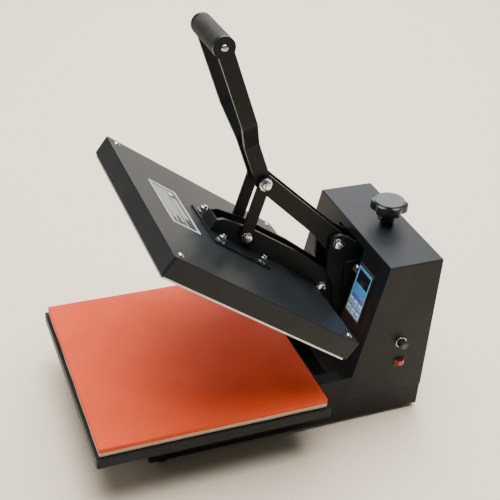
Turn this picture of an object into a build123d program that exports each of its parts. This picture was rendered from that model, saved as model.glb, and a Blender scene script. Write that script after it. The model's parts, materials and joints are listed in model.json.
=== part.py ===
from build123d import *

import os
from math import atan2, cos, degrees, hypot, radians, sin, sqrt, tan

# A clamshell heat press. The frame carries a flat table with a silicone pad, and a control box
# behind it. The hot platen hangs on an arm that is hinged low inside the box. A two-armed lever
# turns on a tower in front of the box and closes the arm through two short links, as a toggle.
#
# Side views are drawn in bench coordinates: y runs back from the front edge of the pad, and z
# runs up from the underside of the rails. Arm views use b, back from the front edge of the
# platen, and h, up from its hot face. Everything is drawn with the press open.

# ---- driving dimensions, millimetres -------------------------------------------------------

PLATEN = 380.0           # side of the square pad and of the hot platen
OPEN_ANGLE = 35.8        # degrees between the open platen and the pad

BODY_W = 266.0           # width of the rails and of the control box
BODY_TOP = 307.5         # height of the box
BODY_DEPTH = 96.9        # depth of the box at its top
BODY_GAP = 54.0          # from the pad's rear edge to the foot of the sloped front
SLOPE_RUN = 61.3         # how far the sloped front leans back over its height
SKIRT_Z = 45.0           # lower edge of the box's sheet sides
SHEET = 1.5              # sheet metal of the box, the cover and the rear panel

FOOT_H = 8.0             # rubber feet
FOOT_R = 12.0
RAIL_FRONT = 96.0        # the rails start this far behind the pad's front edge
RAIL_T = 2.5
RAIL_FLANGE = 25.0
RAIL_TOP = 91.0
TRAY_T = 3.0
TRAY_LIP = 5.0           # the tray stands out this much around the pad
TRAY_SKIRT = 17.0
BACKING_T = 8.0
PAD_T = 8.0
REST_GAP = 0.2           # left between the closed hot face and the pad

HINGE_BACK = 69.5        # arm hinge, behind the foot of the sloped front
HINGE_Z = 114.0
HINGE_R = 8.0
PIVOT_BACK = 18.0        # lever pivot, behind the foot of the sloped front
PIVOT_Z = 299.0
PIVOT_R = 6.0            # radius of the pins at the lever pivot and at the links
LINK_PAST_MIDDLE = 6.0   # link pivot on the arm, behind the middle of the platen
LINK_H = 59.0            # and above its hot face
LINK_LEN = 96.0
TOGGLE_SLACK = 0.9       # how far the closed toggle is from its dead centre
HANDLE_LEN = 255.0       # from the knee pin to the grip
HANDLE_BEND = 26.7       # degrees that the lever turns at the knee
PRESSURE_TRAVEL = 4.0    # the lever pivot moves this much up and down

PLATE = 6.0              # steel plates of the yoke, lever, arm and towers
YOKE_IN = 7.5            # the plates stand beside each other, from the middle outwards
PLATE_GAP = 0.5
TOWER_GAP = 0.3
LINK_T = 5.0
LINK_W = 20.0
LEVER_W = 30.0           # width of the lever below the knee
HANDLE_W = 24.4
GRIP_R = 16.8
GRIP_HALF = 50.0         # half the width over the handle's ends

COVER_H = 38.0
COVER_LIFT = 4.0         # lower edge of the cover, above the hot face
HOT_PLATE_T = 14.0
WOOL_T = 20.0
SPREADER_W = 117.0
SPREADER_L = 121.0
SPREADER_T = 3.0
SPREADER_BOLT_X = 46.0
SPREADER_BOLT_B = 44.0   # half the spacing of its bolts along the arm
CORNER_SCREW = 16.0      # cover screws, in from each edge

KNOB_BACK = 61.7         # knob axis, behind the top edge of the sloped front
KNOB_R = 32.0
KNOB_LOW = 22.5          # underside of the lobes, above the box
KNOB_H = 19.0
SCREW_R = 6.0

PANEL_X = 76.5           # middle of the control panel, from the middle of the box
PANEL_UP = 228.4         # and up the sloped front from its foot
PANEL_W = 51.0
PANEL_H = 95.0
PANEL_T = 2.2
BEZEL_RIM = 3.0
BUTTON_W = 10.6
BUTTON_H = 10.0
BUTTON_PITCH_X = 15.0
BUTTON_PITCH_Y = 16.0
BUTTON_TRAVEL = 0.8
LCD_W = 38.0
LCD_H = 25.5

FUSE_BACK, FUSE_Z = 103.0, 150.0      # fuse holder, behind the foot of the slope
SWITCH_BACK, SWITCH_Z = 106.0, 107.0  # mains switch
INLET_X, INLET_Z = -80.0, 85.0        # mains inlet on the rear panel

RUN = 0.05               # radial clearance of pins and shafts
FREE = 0.3               # clearance of seated and sliding pieces
REAR_PROUD = 2.5         # what stands out behind the rear panel

# ---- places that follow ---------------------------------------------------------------------

SLOPE_FOOT = PLATEN + BODY_GAP
BOX_FRONT = SLOPE_FOOT + SLOPE_RUN
BOX_REAR = BOX_FRONT + BODY_DEPTH
HALF_W = BODY_W / 2
SLOPE = atan2(BODY_TOP, SLOPE_RUN)
TRAY_TOP = RAIL_TOP + TRAY_T
BACKING_TOP = TRAY_TOP + BACKING_T
PAD_TOP = BACKING_TOP + PAD_T
HOT_FACE = PAD_TOP + REST_GAP
Y_MID = (BOX_REAR + REAR_PROUD - TRAY_LIP) / 2

YOKE_OUT = YOKE_IN + PLATE
ARM_IN = YOKE_OUT + PLATE_GAP
ARM_OUT = ARM_IN + PLATE
TOWER_IN = ARM_OUT + TOWER_GAP
TOWER_OUT = TOWER_IN + PLATE
LINK_IN = ARM_OUT + PLATE_GAP
LINK_OUT = LINK_IN + LINK_T

KNOB_Y = BOX_FRONT + KNOB_BACK
HINGE = (SLOPE_FOOT + HINGE_BACK, HINGE_Z)
PIVOT = (SLOPE_FOOT + PIVOT_BACK, PIVOT_Z)
TILT = radians(OPEN_ANGLE)
SIDES = (("left", -1), ("right", 1))


def opened(b, h):
    """Bench coordinates, with the press open, of a point of the arm."""
    y, z = b - HINGE[0], HOT_FACE + h - HINGE[1]
    return (HINGE[0] + y * cos(TILT) + z * sin(TILT), HINGE[1] - y * sin(TILT) + z * cos(TILT))


def between(p, q):
    return hypot(q[0] - p[0], q[1] - p[1])


def beyond(p, q, along, aside=0.0):
    """The point that lies along from p towards q, and aside to the left of that way."""
    d = between(p, q)
    u, v = (q[0] - p[0]) / d, (q[1] - p[1]) / d
    return (p[0] + u * along - v * aside, p[1] + v * along + u * aside)


# The knee pin is where the lever's arm and the link meet above the line from link to pivot.
LINK_B = PLATEN / 2 + LINK_PAST_MIDDLE
LINK_LOW = opened(LINK_B, LINK_H)
LEVER_ARM = between((LINK_B, HOT_FACE + LINK_H), PIVOT) + TOGGLE_SLACK - LINK_LEN
SPAN = between(LINK_LOW, PIVOT)
KNEE_ALONG = (LEVER_ARM**2 - LINK_LEN**2 + SPAN**2) / (2 * SPAN)
KNEE = beyond(PIVOT, LINK_LOW, KNEE_ALONG, -sqrt(LEVER_ARM**2 - KNEE_ALONG**2))
HANDLE_DIR = atan2(KNEE[1] - PIVOT[1], KNEE[0] - PIVOT[0]) - radians(HANDLE_BEND)
GRIP = (KNEE[0] + HANDLE_LEN * cos(HANDLE_DIR), KNEE[1] + HANDLE_LEN * sin(HANDLE_DIR))
ARM_FRONT = opened(0, 0)


def slope_y(z, inward=0.0):
    """How far back the sloped front is at height z."""
    return SLOPE_FOOT + z / tan(SLOPE) + inward / sin(SLOPE)


def side(x):
    return Plane(origin=(x, -Y_MID, FOOT_H), x_dir=(0, 1, 0), z_dir=(1, 0, 0))


def flat(z):
    return Plane(origin=(0, -Y_MID, FOOT_H + z))


def behind(y):
    """Plane across the bench, seen from behind; its x is the bench's -x."""
    return Plane(origin=(0, y - Y_MID, FOOT_H), x_dir=(-1, 0, 0), z_dir=(0, 1, 0))


def arm_side(x):
    y, z = ARM_FRONT
    return Plane(origin=(x, y - Y_MID, z + FOOT_H), x_dir=(0, cos(TILT), -sin(TILT)), z_dir=(1, 0, 0))


def arm_flat(h):
    y, z = opened(0, h)
    return Plane(origin=(0, y - Y_MID, z + FOOT_H), x_dir=(1, 0, 0), z_dir=(0, sin(TILT), cos(TILT)))


def front(out=0.0):
    """Plane of the sloped front, moved out of it; its y runs up the slope from the foot."""
    return Plane(
        origin=(0, SLOPE_FOOT - Y_MID, FOOT_H), x_dir=(1, 0, 0), z_dir=(0, -sin(SLOPE), cos(SLOPE))
    ).offset(out)


def rod(plane, at, radius, length, mode=Mode.ADD):
    with BuildSketch(plane) as end:
        with Locations(at):
            Circle(radius)
    extrude(end.sketch, amount=length, mode=mode)


def block(plane, at, width, depth, length, mode=Mode.ADD):
    with BuildSketch(plane) as end:
        with Locations(at):
            Rectangle(width, depth)
    extrude(end.sketch, amount=length, mode=mode)


def nut(plane, at, radius, length):
    """A hexagon head or nut."""
    with BuildSketch(plane) as end:
        with Locations(at):
            RegularPolygon(radius, 6)
    extrude(end.sketch, amount=length)


def shape(plane, points, length, mode=Mode.ADD):
    with BuildSketch(plane) as outline:
        with BuildLine():
            Polyline(*points, close=True)
        make_face()
    extrude(outline.sketch, amount=length, mode=mode)


def keep(built, label):
    built.part.label = label
    export_step(built.part, f"parts/{label}.step")


os.makedirs("parts", exist_ok=True)

# ---- base ---------------------------------------------------------------------------------

FLOOR_T = 3.0
FLOOR_FRONT = SLOPE_FOOT + 6.0
FLOOR_REAR = BOX_REAR - 4.2
FOOT_X = HALF_W - RAIL_T - FOOT_R
FOOT_YS = (RAIL_FRONT + 24.0, BOX_REAR - 32.0)
TRAY_BOLT_R = 3.0
TRAY_BOLT_YS = (RAIL_FRONT + 54.0, PLATEN - 30.0)
CROSS_W = 25.0
CROSS_H = 40.0


def make_rails():
    """Pressed side rails: a web with a flange turned in at its foot and under the tray."""
    for name, hand in SIDES:
        with BuildPart() as rail:
            web = [
                (RAIL_FRONT, 0), (BOX_REAR - SHEET, 0), (BOX_REAR - SHEET, SKIRT_Z),
                (slope_y(SKIRT_Z) - FREE, SKIRT_Z), (slope_y(RAIL_TOP) - FREE, RAIL_TOP),
                (RAIL_FRONT, RAIL_TOP),
            ]
            shape(side(hand * HALF_W), web, -hand * RAIL_T)
            shelf = hand * (HALF_W - RAIL_FLANGE / 2)
            length = BOX_REAR - SHEET - RAIL_FRONT
            block(flat(0), (shelf, RAIL_FRONT + length / 2), RAIL_FLANGE, length, RAIL_T)
            ledge = SLOPE_FOOT - RAIL_FRONT
            top = flat(RAIL_TOP - RAIL_T)
            block(top, (shelf, RAIL_FRONT + ledge / 2), RAIL_FLANGE, ledge, RAIL_T)
            for y in TRAY_BOLT_YS:
                rod(top, (hand * FOOT_X, y), TRAY_BOLT_R + RUN, RAIL_T, Mode.SUBTRACT)
        keep(rail, f"{name}_rail")


def make_cross_member():
    inside = BODY_W - 2 * RAIL_T
    with BuildPart() as tube:
        middle = (RAIL_FRONT + RAIL_T + CROSS_W / 2, RAIL_T + CROSS_H / 2)
        block(side(-inside / 2), middle, CROSS_W, CROSS_H, inside)
        wall = 2 * RAIL_T
        block(side(-inside / 2), middle, CROSS_W - wall, CROSS_H - wall, inside, Mode.SUBTRACT)
    keep(tube, "front_cross_member")


def make_floor():
    """Floor of the box, with the welded anchor bar of the lift springs."""
    with BuildPart() as floor:
        depth = FLOOR_REAR - FLOOR_FRONT
        at = (0, FLOOR_FRONT + depth / 2)
        block(flat(RAIL_T), at, BODY_W - 2 * RAIL_T - FREE, depth, FLOOR_T)
        y = opened(*TAIL)[0]
        block(flat(FLOOR_TOP), (0, y), 6, 10, SPRING_LOW - 5 - FLOOR_TOP)
        rod(side(-SPRING_X - 4), (y, SPRING_LOW - 5), 3, 2 * SPRING_X + 8)
    keep(floor, "floor_plate")


def make_feet():
    with BuildPart() as feet:
        for x in (-FOOT_X, FOOT_X):
            for y in FOOT_YS:
                rod(flat(-FOOT_H), (x, y), FOOT_R, FOOT_H)
        chamfer(feet.faces().group_by(Axis.Z)[0].edges(), 1.5)
    keep(feet, "rubber_feet")


def make_table():
    tray = PLATEN + 2 * TRAY_LIP
    middle = (0, PLATEN / 2)
    with BuildPart() as table:
        block(flat(TRAY_TOP - TRAY_SKIRT), middle, tray, tray, TRAY_SKIRT)
        fillet(table.edges().filter_by(Axis.Z), 3.0)
        hollow = tray - 2 * TRAY_T
        block(flat(TRAY_TOP - TRAY_SKIRT), middle, hollow, hollow, TRAY_SKIRT - TRAY_T, Mode.SUBTRACT)
        for _, hand in SIDES:
            notch = (hand * (HALF_W - RAIL_FLANGE / 2), PLATEN + TRAY_LIP)
            low = flat(TRAY_TOP - TRAY_SKIRT)
            block(low, notch, RAIL_FLANGE + 6, 4 * TRAY_T, TRAY_SKIRT - TRAY_T, Mode.SUBTRACT)
            for y in TRAY_BOLT_YS:
                rod(flat(RAIL_TOP), (hand * FOOT_X, y), TRAY_BOLT_R + RUN, TRAY_T, Mode.SUBTRACT)
    keep(table, "table_tray")
    with BuildPart() as backing:
        block(flat(TRAY_TOP), middle, PLATEN, PLATEN, BACKING_T)
    keep(backing, "pad_backing")
    with BuildPart() as pad:
        block(flat(BACKING_TOP), middle, PLATEN, PLATEN, PAD_T)
    keep(pad, "silicone_pad")
    with BuildPart() as bolts:
        for _, hand in SIDES:
            for y in TRAY_BOLT_YS:
                nut(flat(RAIL_TOP - RAIL_T), (hand * FOOT_X, y), 2 * TRAY_BOLT_R, -4)
                rod(flat(RAIL_TOP - RAIL_T), (hand * FOOT_X, y), TRAY_BOLT_R, RAIL_T + TRAY_T)
    keep(bolts, "tray_bolts")


# ---- towers and hinge -----------------------------------------------------------------------

TOWER_HEAD = 15.0
TOWER_FRONT = PIVOT[0] - TOWER_HEAD
TOWER_FOOT_W = 24.0
TOWER_FOOT_REAR = HINGE[0] + 56.0
FLOOR_TOP = RAIL_T + FLOOR_T
NECK_REAR = PIVOT[0] + 48.0
SPACER_R = 8.0
SPACERS = ((HINGE[0] + 12.0, PIVOT_Z - 84.0), (HINGE[0] - 16.0, HINGE_Z - 70.0))
BRACKET_T = 4.0
BRACKET_BOLT = (PIVOT[0] + 42.5, PIVOT_Z - 57.4)
BOLT_R = 4.0
FOOT_BOLT_YS = (HINGE[0] - 18.0, HINGE[0] + 40.0)


def tower_outline():
    y, z = PIVOT
    head = degrees(atan2(19.0, 30.0))
    return [
        (TOWER_FRONT, z), (TOWER_FRONT, z - 54), (y - 2, z - 84), (HINGE[0] - 33.5, HINGE_Z - 14),
        (HINGE[0] - 33.5, FLOOR_TOP), (TOWER_FOOT_REAR, FLOOR_TOP), (TOWER_FOOT_REAR, HINGE_Z + 16),
        (HINGE[0] + 41.5, z - 84), (NECK_REAR, z - 41), (NECK_REAR, z - 18), (NECK_REAR - 11, z - 6),
        (y + TOWER_HEAD * sin(radians(head)), z + TOWER_HEAD * cos(radians(head))),
    ]


def make_towers():
    """Side plates with a foot turned out, and an upright slot that the lever pivot rides in."""
    for name, hand in SIDES:
        inner = hand * TOWER_IN
        with BuildPart() as tower:
            shape(side(inner), tower_outline(), hand * PLATE)
            rod(side(inner), PIVOT, TOWER_HEAD, hand * PLATE)
            length = TOWER_FOOT_REAR - HINGE[0] + 33.5
            foot = (hand * (TOWER_OUT + TOWER_FOOT_W / 2), TOWER_FOOT_REAR - length / 2)
            block(flat(FLOOR_TOP), foot, TOWER_FOOT_W, length, PLATE)
            with BuildSketch(side(inner)):
                with Locations(PIVOT):
                    SlotCenterToCenter(2 * PRESSURE_TRAVEL + 2 * RUN, 2 * (PIVOT_R + RUN), rotation=90)
            extrude(amount=hand * PLATE, mode=Mode.SUBTRACT)
            rod(side(inner), HINGE, HINGE_R + RUN, hand * PLATE, Mode.SUBTRACT)
            for at in SPACERS + (BRACKET_BOLT,):
                rod(side(inner), at, BOLT_R + RUN, hand * PLATE, Mode.SUBTRACT)
            for y in FOOT_BOLT_YS:
                at = (hand * (TOWER_OUT + TOWER_FOOT_W / 2), y)
                rod(flat(FLOOR_TOP), at, BOLT_R + RUN, PLATE, Mode.SUBTRACT)
        keep(tower, f"{name}_tower")


def make_tower_brackets():
    """Outer stiffeners that are bolted on the towers beside the slot of the box."""
    y, z = BRACKET_BOLT
    outline = [(y - 26, z + 16), (y + 6, z + 19), (y + 9, z - 60), (y + 2, z - 90), (y - 22, z - 60)]
    with BuildPart() as brackets:
        for _, hand in SIDES:
            shape(side(hand * TOWER_OUT), outline, hand * BRACKET_T)
            rod(side(hand * TOWER_OUT), (y, z), BOLT_R + RUN, hand * BRACKET_T, Mode.SUBTRACT)
    keep(brackets, "tower_brackets")


def make_tower_fasteners():
    """Spacer tubes between the towers with their end bolts, and the bracket and foot bolts."""
    with BuildPart() as fasteners:
        for at in SPACERS:
            rod(side(-TOWER_IN), at, SPACER_R, 2 * TOWER_IN)
            for _, hand in SIDES:
                rod(side(hand * TOWER_IN), at, BOLT_R, hand * PLATE)
                nut(side(hand * TOWER_OUT), at, 1.8 * BOLT_R, hand * 5)
        for _, hand in SIDES:
            rod(side(hand * TOWER_IN), BRACKET_BOLT, BOLT_R, hand * (PLATE + BRACKET_T))
            rod(side(hand * (TOWER_OUT + BRACKET_T)), BRACKET_BOLT, 2.4 * BOLT_R, hand * 1.6)
            nut(side(hand * (TOWER_OUT + BRACKET_T + 1.6)), BRACKET_BOLT, 1.9 * BOLT_R, hand * 5.4)
            for y in FOOT_BOLT_YS:
                at = (hand * (TOWER_OUT + TOWER_FOOT_W / 2), y)
                rod(flat(FLOOR_TOP), at, BOLT_R, PLATE)
                nut(flat(FLOOR_TOP + PLATE), at, 1.8 * BOLT_R, 5)
    keep(fasteners, "tower_fasteners")


CLIP_T = 1.2
CLIP_GAP = 0.4


def make_hinge_shaft():
    """The arm's hinge shaft, with a retaining clip in a groove at each end."""
    half = TOWER_OUT + BRACKET_T + 2
    groove = TOWER_OUT + CLIP_GAP
    with BuildPart() as shaft:
        rod(side(-half), HINGE, HINGE_R, 2 * half)
        chamfer(shaft.edges().filter_by(GeomType.CIRCLE), 1.0)
        for _, hand in SIDES:
            with BuildSketch(side(hand * groove)):
                with Locations(HINGE):
                    Circle(HINGE_R + 1)
                    Circle(HINGE_R - 1, mode=Mode.SUBTRACT)
            extrude(amount=hand * (CLIP_T + 0.1), mode=Mode.SUBTRACT)
        for _, hand in SIDES:
            with BuildSketch(side(hand * (groove + RUN))):
                with Locations(HINGE):
                    Circle(HINGE_R + 4)
                    Circle(HINGE_R - 1 + RUN, mode=Mode.SUBTRACT)
            extrude(amount=hand * CLIP_T)
    keep(shaft, "hinge_shaft")


# ---- control box ----------------------------------------------------------------------------

SLOT_HALF = 47.0
SLOT_LOW, SLOT_HIGH = 80.0, 292.0
BOX_EDGE_R = 2.0
REAR_FLANGE = 12.0
COLLAR_R = 10.0
COLLAR_FLANGE_R = 20.0
FUSE_R = 8.6
FUSE_RING_R = 10.0
SWITCH_W, SWITCH_H = 21.0, 15.0
SWITCH_BODY_W, SWITCH_BODY_H = 19.0, 13.0
INLET_W, INLET_H = 50.0, 24.0
INLET_BODY_W, INLET_BODY_H = 28.0, 20.0
PANEL_SCREW_R = 2.0
PANEL_SCREW_IN = 7.0        # in from each side of the box
PANEL_SCREW_LOW = 25.0      # above the skirt
PANEL_SCREW_HIGH = 17.5     # below the top
PANEL_SCREWS = [
    (hand * (HALF_W - PANEL_SCREW_IN), z)
    for _, hand in SIDES
    for z in (
        SKIRT_Z + PANEL_SCREW_LOW,
        (SKIRT_Z + PANEL_SCREW_LOW + BODY_TOP - PANEL_SCREW_HIGH) / 2,
        BODY_TOP - PANEL_SCREW_HIGH,
    )
]
VENT_W, VENT_H, VENT_PITCH = 62.0, 4.0, 11.0
VENT_ROWS = 9


def panel_at(x=0.0, y=0.0):
    return (PANEL_X + x, PANEL_UP + y)


BUTTON_DEPTH = 3.5          # the back of a key's flange, behind the sheet's face
BUTTON_FLANGE = 1.8
BUTTON_PROUD = 1.0
FIRST_KEY_ROW = 21.2        # below the middle of the panel
LCD_AT = panel_at(0, 25.2)
BOARD_DEPTH = 14.0
BOARD_T = 1.6
BUTTONS = {
    name: panel_at(column * BUTTON_PITCH_X, -FIRST_KEY_ROW - row * BUTTON_PITCH_Y)
    for row, names in enumerate((("mode", "up", "start"), ("set", "down", "stop")))
    for column, name in zip((-1, 0, 1), names)
}


def make_housing():
    """Sheet metal box with a leaning front; open below and behind."""
    with BuildPart() as box:
        low = SKIRT_Z
        outline = [
            (slope_y(low), low), (BOX_REAR, low), (BOX_REAR, BODY_TOP), (slope_y(BODY_TOP), BODY_TOP),
        ]
        shape(side(-HALF_W), outline, BODY_W)
        fillet(box.faces().sort_by(Axis.Z)[-1].edges().sort_by(Axis.Y)[:-1], BOX_EDGE_R)
        top = BODY_TOP - SHEET
        hollow = [
            (slope_y(low - 1, SHEET), low - 1), (BOX_REAR + 1, low - 1), (BOX_REAR + 1, top),
            (slope_y(top, SHEET), top),
        ]
        shape(side(SHEET - HALF_W), hollow, BODY_W - 2 * SHEET, Mode.SUBTRACT)
        # openings: the lever slot, the panel window, the screw collar, and the side fittings
        run = 1 / sin(SLOPE)
        up = (SLOT_LOW + SLOT_HIGH) / 2 * run
        with BuildSketch(front(1)):
            with Locations((0, up)):
                RectangleRounded(2 * SLOT_HALF, (SLOT_HIGH - SLOT_LOW) * run, 4)
        extrude(amount=-2 - SHEET, mode=Mode.SUBTRACT)
        rim = 2 * BEZEL_RIM + 2
        block(front(1), panel_at(), PANEL_W - rim, PANEL_H - rim, -2 - SHEET, Mode.SUBTRACT)
        rod(flat(top - 1), (0, KNOB_Y), COLLAR_R + RUN, SHEET + 2, Mode.SUBTRACT)
        right = side(HALF_W - SHEET - 1)
        rod(right, (SLOPE_FOOT + FUSE_BACK, FUSE_Z), FUSE_R + RUN, SHEET + 2, Mode.SUBTRACT)
        at = (SLOPE_FOOT + SWITCH_BACK, SWITCH_Z)
        block(right, at, SWITCH_BODY_W + RUN, SWITCH_BODY_H + RUN, SHEET + 2, Mode.SUBTRACT)
        # flanges turned in to take the rear panel
        for _, hand in SIDES:
            x = hand * (HALF_W - SHEET - REAR_FLANGE / 2)
            flange = (x, BOX_REAR - 1.5 * SHEET)
            block(flat(low), flange, REAR_FLANGE, SHEET, top - low)
        for x, z in PANEL_SCREWS:
            rod(behind(BOX_REAR - 3 * SHEET), (x, z), PANEL_SCREW_R + RUN, 2 * SHEET, Mode.SUBTRACT)
    keep(box, "housing_shell")


def make_rear_panel():
    with BuildPart() as panel:
        width = BODY_W - 2 * SHEET - FREE
        height = BODY_TOP - SHEET - SKIRT_Z - FREE
        inside = behind(BOX_REAR - SHEET)
        block(inside, (0, SKIRT_Z + height / 2), width, height, SHEET)
        for x, z in PANEL_SCREWS:
            rod(inside, (x, z), PANEL_SCREW_R + RUN, SHEET, Mode.SUBTRACT)
        inlet = (INLET_X, INLET_Z)
        block(inside, inlet, INLET_BODY_W + RUN, INLET_BODY_H + RUN, SHEET, Mode.SUBTRACT)
        middle = (SKIRT_Z + BODY_TOP) / 2 + 30
        with BuildSketch(inside):
            with Locations((0, middle)):
                with GridLocations(VENT_W + 14, VENT_PITCH, 2, VENT_ROWS):
                    SlotOverall(VENT_W, VENT_H)
        extrude(amount=SHEET, mode=Mode.SUBTRACT)
    keep(panel, "rear_panel")
    with BuildPart() as screws:
        for x, z in PANEL_SCREWS:
            rod(behind(BOX_REAR - 4 * SHEET), (x, z), PANEL_SCREW_R, 4 * SHEET)
            rod(behind(BOX_REAR), (x, z), 2 * PANEL_SCREW_R, 2)
        heads = screws.faces().sort_by(Axis.Y)[-len(PANEL_SCREWS):]
        chamfer(heads.edges(), 0.6)
    keep(screws, "rear_panel_screws")


def make_inlet():
    """Three-pin appliance inlet: flange, body and blades in one moulding."""
    with BuildPart() as inlet:
        outside = behind(BOX_REAR)
        at = (INLET_X, INLET_Z)
        with BuildSketch(outside):
            with Locations(at):
                RectangleRounded(INLET_W, INLET_H, 3)
        extrude(amount=REAR_PROUD)
        block(outside, at, INLET_BODY_W, INLET_BODY_H, -22)
        mouth = behind(BOX_REAR + REAR_PROUD)
        with BuildSketch(mouth):
            with Locations(at):
                RectangleRounded(24.4, 16.8, 3)
        extrude(amount=-18, mode=Mode.SUBTRACT)
        for dx, dz in ((-7, -2), (0, 2), (7, -2)):
            block(behind(BOX_REAR - 17), (INLET_X + dx, INLET_Z + dz), 2, 4, 16)
    keep(inlet, "mains_inlet")


def make_panel():
    """Bezel, printed overlay, window and control board on the sloped front."""
    inner_w, inner_h = PANEL_W - 2 * BEZEL_RIM, PANEL_H - 2 * BEZEL_RIM
    with BuildPart() as bezel:
        with BuildSketch(front()):
            with Locations(panel_at()):
                RectangleRounded(PANEL_W, PANEL_H, 2)
                Rectangle(inner_w, inner_h, mode=Mode.SUBTRACT)
        extrude(amount=PANEL_T + 0.6)
    keep(bezel, "panel_bezel")
    with BuildPart() as overlay:
        with BuildSketch(front()):
            with Locations(panel_at()):
                Rectangle(inner_w - FREE, inner_h - FREE)
            with Locations(LCD_AT):
                Rectangle(LCD_W, LCD_H, mode=Mode.SUBTRACT)
            with Locations(*BUTTONS.values()):
                Rectangle(BUTTON_W + 2 * FREE, BUTTON_H + 2 * FREE, mode=Mode.SUBTRACT)
        extrude(amount=PANEL_T)
    keep(overlay, "panel_overlay")
    with BuildPart() as window:
        block(front(), LCD_AT, LCD_W - FREE, LCD_H - FREE, PANEL_T - 0.4)
    keep(window, "display_window")
    with BuildPart() as board:
        face = BOARD_DEPTH - BOARD_T
        block(front(-BOARD_DEPTH), panel_at(), inner_w - 3, PANEL_H - 16, BOARD_T)
        block(front(-face), LCD_AT, LCD_W - 3, LCD_H - 3, face)
        for at in BUTTONS.values():
            block(front(-face), at, 6, 6, face - BUTTON_DEPTH - BUTTON_TRAVEL - 0.2)
    keep(board, "control_board")


def make_buttons():
    """Key caps that slide in the overlay, each held by a flange behind it."""
    for name, at in BUTTONS.items():
        with BuildPart() as button:
            block(front(-BUTTON_DEPTH), at, BUTTON_W + 1.6, BUTTON_H + 1.6, BUTTON_FLANGE)
            block(front(-BUTTON_DEPTH), at, BUTTON_W, BUTTON_H, BUTTON_DEPTH + PANEL_T + BUTTON_PROUD)
            fillet(button.edges().filter_by(Axis((0, 0, 0), front().z_dir)), 1.0)
            fillet(button.faces().sort_by(Axis((0, 0, 0), front().z_dir))[-1].edges(), 0.5)
        keep(button, f"{name}_button")


ROCKER_W, ROCKER_H = 15.6, 10.6
ROCKER_TILT = -9.0
SWITCH_FRAME_T = 1.6
FUSE_RING_T = 2.5
CAP_STEM_R = 4.5
CAP_PROUD = 14.0


def upright(at, up, turn=0.0):
    """Plane across a switch: its x runs back along the box side and its y stands out of it."""
    y, z = at
    plane = Plane(
        origin=(HALF_W + 1.0, y - Y_MID, z + up + FOOT_H), x_dir=(0, 1, 0), z_dir=(0, 0, 1)
    )
    return plane.rotated((0, 0, turn))


def make_side_fittings():
    """Mains switch and fuse holder on the right side of the box."""
    switch = (SLOPE_FOOT + SWITCH_BACK, SWITCH_Z)
    with BuildPart() as frame:
        block(side(HALF_W), switch, SWITCH_W, SWITCH_H, SWITCH_FRAME_T)
        block(side(HALF_W), switch, SWITCH_BODY_W, SWITCH_BODY_H, -20)
        chamfer(frame.faces().sort_by(Axis.X)[-1].edges(), 0.6)
        block(side(HALF_W + SWITCH_FRAME_T), switch, ROCKER_W + 1.4, ROCKER_H + 0.6, -13, Mode.SUBTRACT)
        rod(upright(switch, -SWITCH_BODY_H / 2), (0, 0), 1 + RUN, SWITCH_BODY_H, Mode.SUBTRACT)
    keep(frame, "switch_frame")
    half, low = ROCKER_W / 2, 2.0
    with BuildPart() as rocker:
        with BuildSketch(upright(switch, -ROCKER_H / 2, ROCKER_TILT)):
            with BuildLine():
                Polyline((half, -low), (half - 0.3, 3.0), (0, 1.8), (0.3 - half, 3.0), (-half, -low),
                         (-3, -6), (3, -6), close=True)
            make_face()
        extrude(amount=ROCKER_H)
        rod(upright(switch, -SWITCH_BODY_H / 2 + 0.2), (0, 0), 1, SWITCH_BODY_H - 0.4)
    keep(rocker, "switch_rocker")

    fuse = (SLOPE_FOOT + FUSE_BACK, FUSE_Z)
    with BuildPart() as holder:
        rod(side(HALF_W - 30), fuse, FUSE_R, 30 + FUSE_RING_T + 1)
        rod(side(HALF_W - 22), fuse, CAP_STEM_R + RUN, 40, Mode.SUBTRACT)
    keep(holder, "fuse_holder")
    with BuildPart() as ring:
        with BuildSketch(side(HALF_W)):
            with Locations(fuse):
                Circle(FUSE_RING_R)
                Circle(FUSE_R + RUN, mode=Mode.SUBTRACT)
        extrude(amount=FUSE_RING_T)
        fillet(ring.edges().filter_by(GeomType.CIRCLE).sort_by(Axis.X)[-2:].sort_by(SortBy.RADIUS)[-1], 0.8)
    keep(ring, "fuse_ring")
    with BuildPart() as cap:
        rod(side(HALF_W - 20), fuse, CAP_STEM_R, 20 + FUSE_RING_T + 1.5)
        rod(side(HALF_W + FUSE_RING_T + 1.2), fuse, FUSE_R - 1, CAP_PROUD - FUSE_RING_T - 1.2)
        chamfer(cap.faces().sort_by(Axis.X)[-1].edges(), 1.2)
        block(side(HALF_W + CAP_PROUD - 1.5), fuse, 1.6, 10, 1.6, Mode.SUBTRACT)
    keep(cap, "fuse_cap")


# ---- nuts and washers of the linkage --------------------------------------------------------

WASHER_T = 1.6
KNEE_WASHER_R = 10.5
KNEE_WASHER_T = 3.2
LINK_NUT_R = 7.6
LINK_NUT_T = 6.0
PIVOT_WASHER_T = 2.5
PIVOT_NUT_R = 8.6
PIVOT_NUT_T = 6.5
STUD_R = 4.0
STUD_PROUD = 2.6


def nut_on_stud(x, hand, at, radius, length):
    """A nut on a side face, with the reduced end of its stud standing out of it."""
    nut(side(x), at, radius, hand * length)
    rod(side(x), at, STUD_R, hand * (length + STUD_PROUD))


# ---- pressure adjustment --------------------------------------------------------------------

YOKE_HEAD = 13.0
NUT_LOW, NUT_HIGH = PIVOT_Z - 59.0, PIVOT_Z - 24.0
NUT_HALF = 14.0
STEM_R = 12.0
THRUST_R = 9.0
COLLAR_LOW = BODY_TOP - 17.5
COLLAR_TOP = BODY_TOP + 2.0
KNOB_LOBES = 6
LOBE_R = 9.0
SET_R = 2.0
SET_UP = 11.0             # the set screw, above the box


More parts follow.
